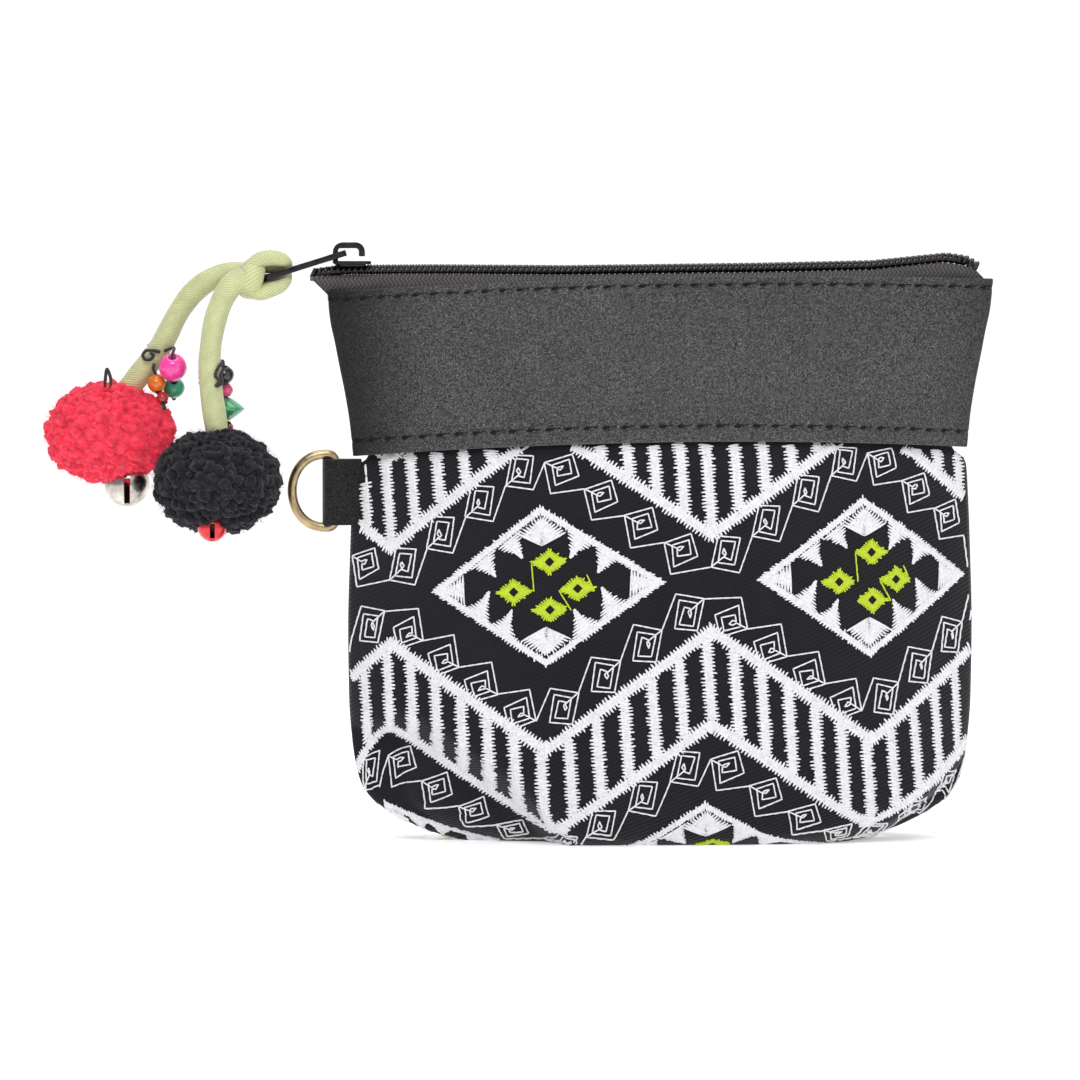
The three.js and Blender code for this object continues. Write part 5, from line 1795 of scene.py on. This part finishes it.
def make_pompoms(charm, looks):
    """Two balls of curled wool."""
    tree = pile_tree()
    tuft = tuft_unit("tuft_unit", charm.tuft_radius / MM)
    fibre = fibre_unit("fibre_unit")
    for index, (name, middle, half) in enumerate(POMPOMS):
        mesh = bpy.data.meshes.new(f"wool_{name}")
        piece = add_object(f"wool_{name}", mesh)

        def core(shape):
            bmesh.ops.create_icosphere(shape, subdivisions=CORE_SUBDIVISIONS, radius=1.0)
            for point in shape.verts:
                point.co = [(m + (h - CORE_INSET) * c) * MM for m, h, c in zip(middle, half, point.co)]

        edit_mesh(piece, core)
        area = sum(face.area for face in mesh.polygons)
        run_tree(piece, tree, {
            "Tuft": tuft, "Fibre": fibre, "Tuft spacing": charm.tuft_spacing,
            "Tuft density": TUFTS_PER_SPACING / charm.tuft_spacing ** 2, "Fibre density": charm.fibres / area,
            "Lean": TUFT_LEAN, "Seed": SEED + index, "Material": looks[f"{name} wool"],
        })
        dress(piece, f"{name}_wool", f"pompom_{name}")
    drop(tuft)
    drop(fibre)


def bead_profile(radius, half, pointed):
    """A drilled bead's section beside its hole: round, or two cones with a soft edge."""
    share = np.linspace(-1, 1, BEAD_ROWS)
    bulge = np.sqrt(1 - (ROUND_BEAD_SHARE * share) ** 2)
    if pointed:
        bulge = 1 - POINTED_BEAD["taper"] * np.abs(share) ** POINTED_BEAD["power"]
    rim = np.maximum(radius * bulge, BEAD_HOLE_RADIUS + BEAD_LEAST_RIM)
    outer = np.column_stack([rim, share * half])
    inner = [(BEAD_HOLE_RADIUS, half * end) for end in (BEAD_HOLE_SHARE, -BEAD_HOLE_SHARE)]
    return np.vstack([outer, inner])


def make_beads(looks):
    """Every bead of the two strings. The record's finish for its node is read but not used."""
    slots = {part["node"]: part["material_slot"] for part in frame["record"]["subparts"]}
    for name, middle, radius, half, direction in BEADS:
        profile = bead_profile(radius, half, name == POINTED_BEAD["name"])
        shape = turned(profile, BEAD_SIDES, middle, direction)
        piece = joined(f"bead_{name}_gloss", [shape], looks[f"{name} bead"])
        dress(piece, slots[f"bead_{name}"], f"bead_{name}")


def wrap_routes(tie):
    """Half turns of thread round the back of a leg."""
    middle, direction = (np.array(v, float) for v in tie)
    axis = unit(direction)
    side = unit(np.cross(axis, (0, 1, 0)))
    behind = np.cross(side, axis)
    turn = np.linspace(WRAP_START, math.pi - WRAP_START, WRAP_SAMPLES)[:, None]
    ring = (side * np.cos(turn) + behind * np.sin(turn)) * WRAP_RADIUS
    for k in range(WRAPS):
        along = (k / (WRAPS - 1) - 0.5) * WRAP_RISE + turn / math.pi * WRAP_RISE / WRAPS
        yield middle + ring + axis * along


def string_route(tie, between, names):
    """From the tie, past the points between, through each bead in turn, to just past the last."""
    beads = {row[0]: row for row in BEADS}
    middle = np.array(tie[0], float)
    first = np.array(between[0], float)
    points = [middle + unit(first - middle) * STRING_START, *np.array(between, float)]
    for name in names:
        _, place, _, half, direction = beads[name]
        reach = unit(direction) * (half + BEAD_CLEARANCE)
        points += [np.array(place) - reach, np.array(place), np.array(place) + reach]
    points.append(points[-1] + unit(points[-1] - points[-2]))
    return points


def ball(middle, radius):
    """Points and faces of a small knot."""
    share = np.linspace(-END_KNOT_POLE, END_KNOT_POLE, END_KNOT_ROWS)
    profile = np.column_stack([radius * np.sqrt(1 - share ** 2), radius * share])
    return turned(profile, END_KNOT_SIDES, middle, (0, 0, 1))


def thread_tube(route):
    """Points and faces of a thread along a route."""
    return sweep(route, THREAD_RADIUS, THREAD_SIDES)[:2]


def make_threads(looks):
    """The black threads: turns behind each leg, loose curls, and a strand through each string's beads."""
    for name, (tie, strands) in STRINGS.items():
        parts = [thread_tube(route) for route in wrap_routes(tie)]
        parts += [thread_tube(smooth_route(curl, THREAD_SAMPLES)) for curl in CURLS[name]]
        for between, names in strands:
            points = string_route(tie, between, names)
            parts.append(thread_tube(smooth_route(points, THREAD_SAMPLES)))
            parts.append(ball(points[-1], END_KNOT_RADIUS))
        piece = joined(f"bead_string_{name}", parts, looks["black thread"])
        dress(piece, "black_thread", f"bead_thread_{name}")


def make_bells(looks):
    """Two jingle bells: hollow balls with a slot up the front of the lower half."""
    angles = full_turn(BELL_SIDES)
    rings = np.cos(np.linspace(BELL_POLE, BELL_EQUATOR, BELL_RINGS))
    for name, middle, radius, slot in BELLS:
        cut = slot / 2 / radius
        share = np.sort(np.concatenate([-rings, [-cut, cut], rings]))[:, None]
        ring = np.sqrt(1 - share ** 2)
        across = np.repeat(share, BELL_SIDES, axis=1)
        points = np.stack([across, ring * np.cos(angles), ring * np.sin(angles)], axis=-1)
        points = points.reshape(-1, 3) * radius
        faces = grid_faces(len(share), BELL_SIDES, wrap=True)
        centres = points[faces].mean(axis=1)
        in_slot = (np.abs(centres[:, 0]) < slot * SLOT_SHARE) & (centres[:, 2] < SLOT_TOP * radius)
        in_slot &= centres[:, 1] < SLOT_BACK * radius
        faces = faces[~in_slot].tolist()
        last = (len(share) - 1) * BELL_SIDES
        faces.append(list(range(BELL_SIDES)))
        faces.append([last + i for i in range(BELL_SIDES)][::-1])
        points = points + np.array(middle)
        # The inner faces take the near-black inside finish, painted shade for the hollow seen through the
        # slot
        finishes = (looks[f"{name} bell"], looks["tarnished inside"])
        piece = mesh_piece(f"jingle_bell_{name}", points, faces, *finishes)
        face_out(piece)
        walled(piece, BELL_WALL * MM, BELL_ROUNDING, inner_material=1)
        dress(piece, f"{name}_bell", f"bell_{name}")


# Stage


def make_stage(stage):
    """Camera, pale floor that curves up behind, and soft lights."""
    scene = bpy.context.scene
    target = Vector(LOOK_AT) * MM
    back = Vector((
        math.sin(stage.azimuth) * math.cos(stage.elevation),
        -math.cos(stage.azimuth) * math.cos(stage.elevation),
        math.sin(stage.elevation),
    ))
    lens = bpy.data.cameras.new("Camera")
    lens.sensor_width = SENSOR
    lens.lens = SENSOR * stage.distance / stage.view_width
    lens.clip_end = FAR_CLIP
    camera = add_object("Camera", lens)
    camera.location = target + back * stage.distance
    camera.rotation_euler = (-back).to_track_quat("-Z", "Y").to_euler()
    scene.camera = camera
    bend = np.linspace(0, math.pi / 2, FLOOR_BEND_SAMPLES)
    curve_y = FLOOR_BEND_START + FLOOR_BEND_RADIUS * np.sin(bend)
    curve_z = FLOOR_BEND_RADIUS * (1 - np.cos(bend))
    profile = [(FLOOR_FRONT, 0.0), *zip(curve_y, curve_z), (FLOOR_BEND_START + FLOOR_BEND_RADIUS, FLOOR_TOP)]
    points = np.array([(side * FLOOR_HALF_WIDTH, y, z) for y, z in profile for side in (-1, 1)]) / MM
    finish = Finish("Pale floor", stage.floor, *FLOOR_FINISH)
    floor = mesh_piece("floor", points, grid_faces(len(profile), 2)[:, ::-1], finish.material)
    for name, place, size, power in LAMPS:
        light = bpy.data.lights.new(name, "AREA")
        light.size = size
        light.energy = power
        lamp = add_object(name, light)
        lamp.location = place
        lamp.rotation_euler = (target - Vector(place)).to_track_quat("-Z", "Y").to_euler()
    world = bpy.data.worlds.new("Studio")
    world.use_nodes = True
    sky = world.node_tree.nodes["Background"]
    set_inputs(world.node_tree, sky, {"Color": (1, 1, 1, 1), "Strength": WORLD_STRENGTH})
    scene.world = world
    scene.view_settings.view_transform = "Standard"


# Operators and panel

FINISHES = {}


class PURSE_OT_stage(bpy.types.Operator):
    """Make the materials, the camera, the floor and the lights"""

    bl_idname = "purse.stage"
    bl_label = "Stage and finishes"

    def execute(self, context):
        scene = context.scene
        FINISHES.update(make_finishes(scene.purse_pouch, scene.purse_zip, scene.purse_charm))
        make_stage(scene.purse_stage)
        return {"FINISHED"}


class PURSE_OT_legs(bpy.types.Operator):
    """Make the two legs of the charm cord"""

    bl_idname = "purse.legs"
    bl_label = "Cord legs"

    def execute(self, context):
        make_legs(context.scene.purse_charm, FINISHES)
        return {"FINISHED"}


class PURSE_OT_cloth(bpy.types.Operator):
    """Make the cloth body"""

    bl_idname = "purse.cloth"
    bl_label = "Cloth body"

    def execute(self, context):
        make_cloth(context.scene.purse_pouch, FINISHES)
        return {"FINISHED"}


class PURSE_OT_embroidery(bpy.types.Operator):
    """Lay the embroidery threads on the cloth"""

    bl_idname = "purse.embroidery"
    bl_label = "Embroidery"

    def execute(self, context):
        make_embroidery(context.scene.purse_pouch, FINISHES)
        return {"FINISHED"}


class PURSE_OT_leather(bpy.types.Operator):
    """Make the leather band and its seams"""

    bl_idname = "purse.leather"
    bl_label = "Leather band"

    def execute(self, context):
        make_leather(context.scene.purse_pouch, FINISHES)
        return {"FINISHED"}


class PURSE_OT_ring(bpy.types.Operator):
    """Make the D-ring and its tab"""

    bl_idname = "purse.ring"
    bl_label = "Ring and tab"

    def execute(self, context):
        make_ring(FINISHES)
        return {"FINISHED"}


class PURSE_OT_zip(bpy.types.Operator):
    """Make the zip's tapes, coil, slider and puller"""

    bl_idname = "purse.zip"
    bl_label = "Zip"

    def execute(self, context):
        make_tapes(FINISHES)
        make_coil(context.scene.purse_zip, FINISHES)
        make_slider(FINISHES)
        return {"FINISHED"}


class PURSE_OT_charm(bpy.types.Operator):
    """Make the knot, pompoms, beads, threads and bells"""

    bl_idname = "purse.charm"
    bl_label = "Charm"

    def execute(self, context):
        charm = context.scene.purse_charm
        make_knot(FINISHES)
        make_pompoms(charm, FINISHES)
        make_beads(FINISHES)
        make_threads(FINISHES)
        make_bells(FINISHES)
        return {"FINISHED"}


class PURSE_PT_panel(bpy.types.Panel):
    """Lists the purse's settings and what can be made"""

    bl_label = "Purse"
    bl_idname = "PURSE_PT_panel"
    bl_space_type = "VIEW_3D"
    bl_region_type = "UI"
    bl_category = "Purse"

    def draw(self, context):
        for operator in OPERATORS:
            self.layout.operator(operator.bl_idname)
        for name, group in SETTINGS.items():
            box = self.layout.box()
            for key in group.__annotations__:
                box.prop(getattr(context.scene, name), key)


SETTINGS = {
    "purse_pouch": PursePouchSettings,
    "purse_zip": PurseZipSettings,
    "purse_charm": PurseCharmSettings,
    "purse_stage": PurseStageSettings,
}
OPERATORS = (
    PURSE_OT_stage, PURSE_OT_legs, PURSE_OT_cloth, PURSE_OT_embroidery, PURSE_OT_leather, PURSE_OT_ring,
    PURSE_OT_zip, PURSE_OT_charm,
)


def register():
    for group in SETTINGS.values():
        bpy.utils.register_class(group)
    for operator in OPERATORS:
        bpy.utils.register_class(operator)
    bpy.utils.register_class(PURSE_PT_panel)
    for name, group in SETTINGS.items():
        setattr(bpy.types.Scene, name, PointerProperty(type=group))


def unregister():
    for name in SETTINGS:
        delattr(bpy.types.Scene, name)
    bpy.utils.unregister_class(PURSE_PT_panel)
    for operator in reversed(OPERATORS):
        bpy.utils.unregister_class(operator)
    for group in reversed(SETTINGS.values()):
        bpy.utils.unregister_class(group)


def main():
    """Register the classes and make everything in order."""
    register()
    bpy.ops.purse.stage()
    bpy.ops.purse.legs()
    bpy.ops.purse.cloth()
    bpy.ops.purse.embroidery()
    bpy.ops.purse.leather()
    bpy.ops.purse.ring()
    bpy.ops.purse.zip()
    bpy.ops.purse.charm()


if __name__ == "__main__":
    main()
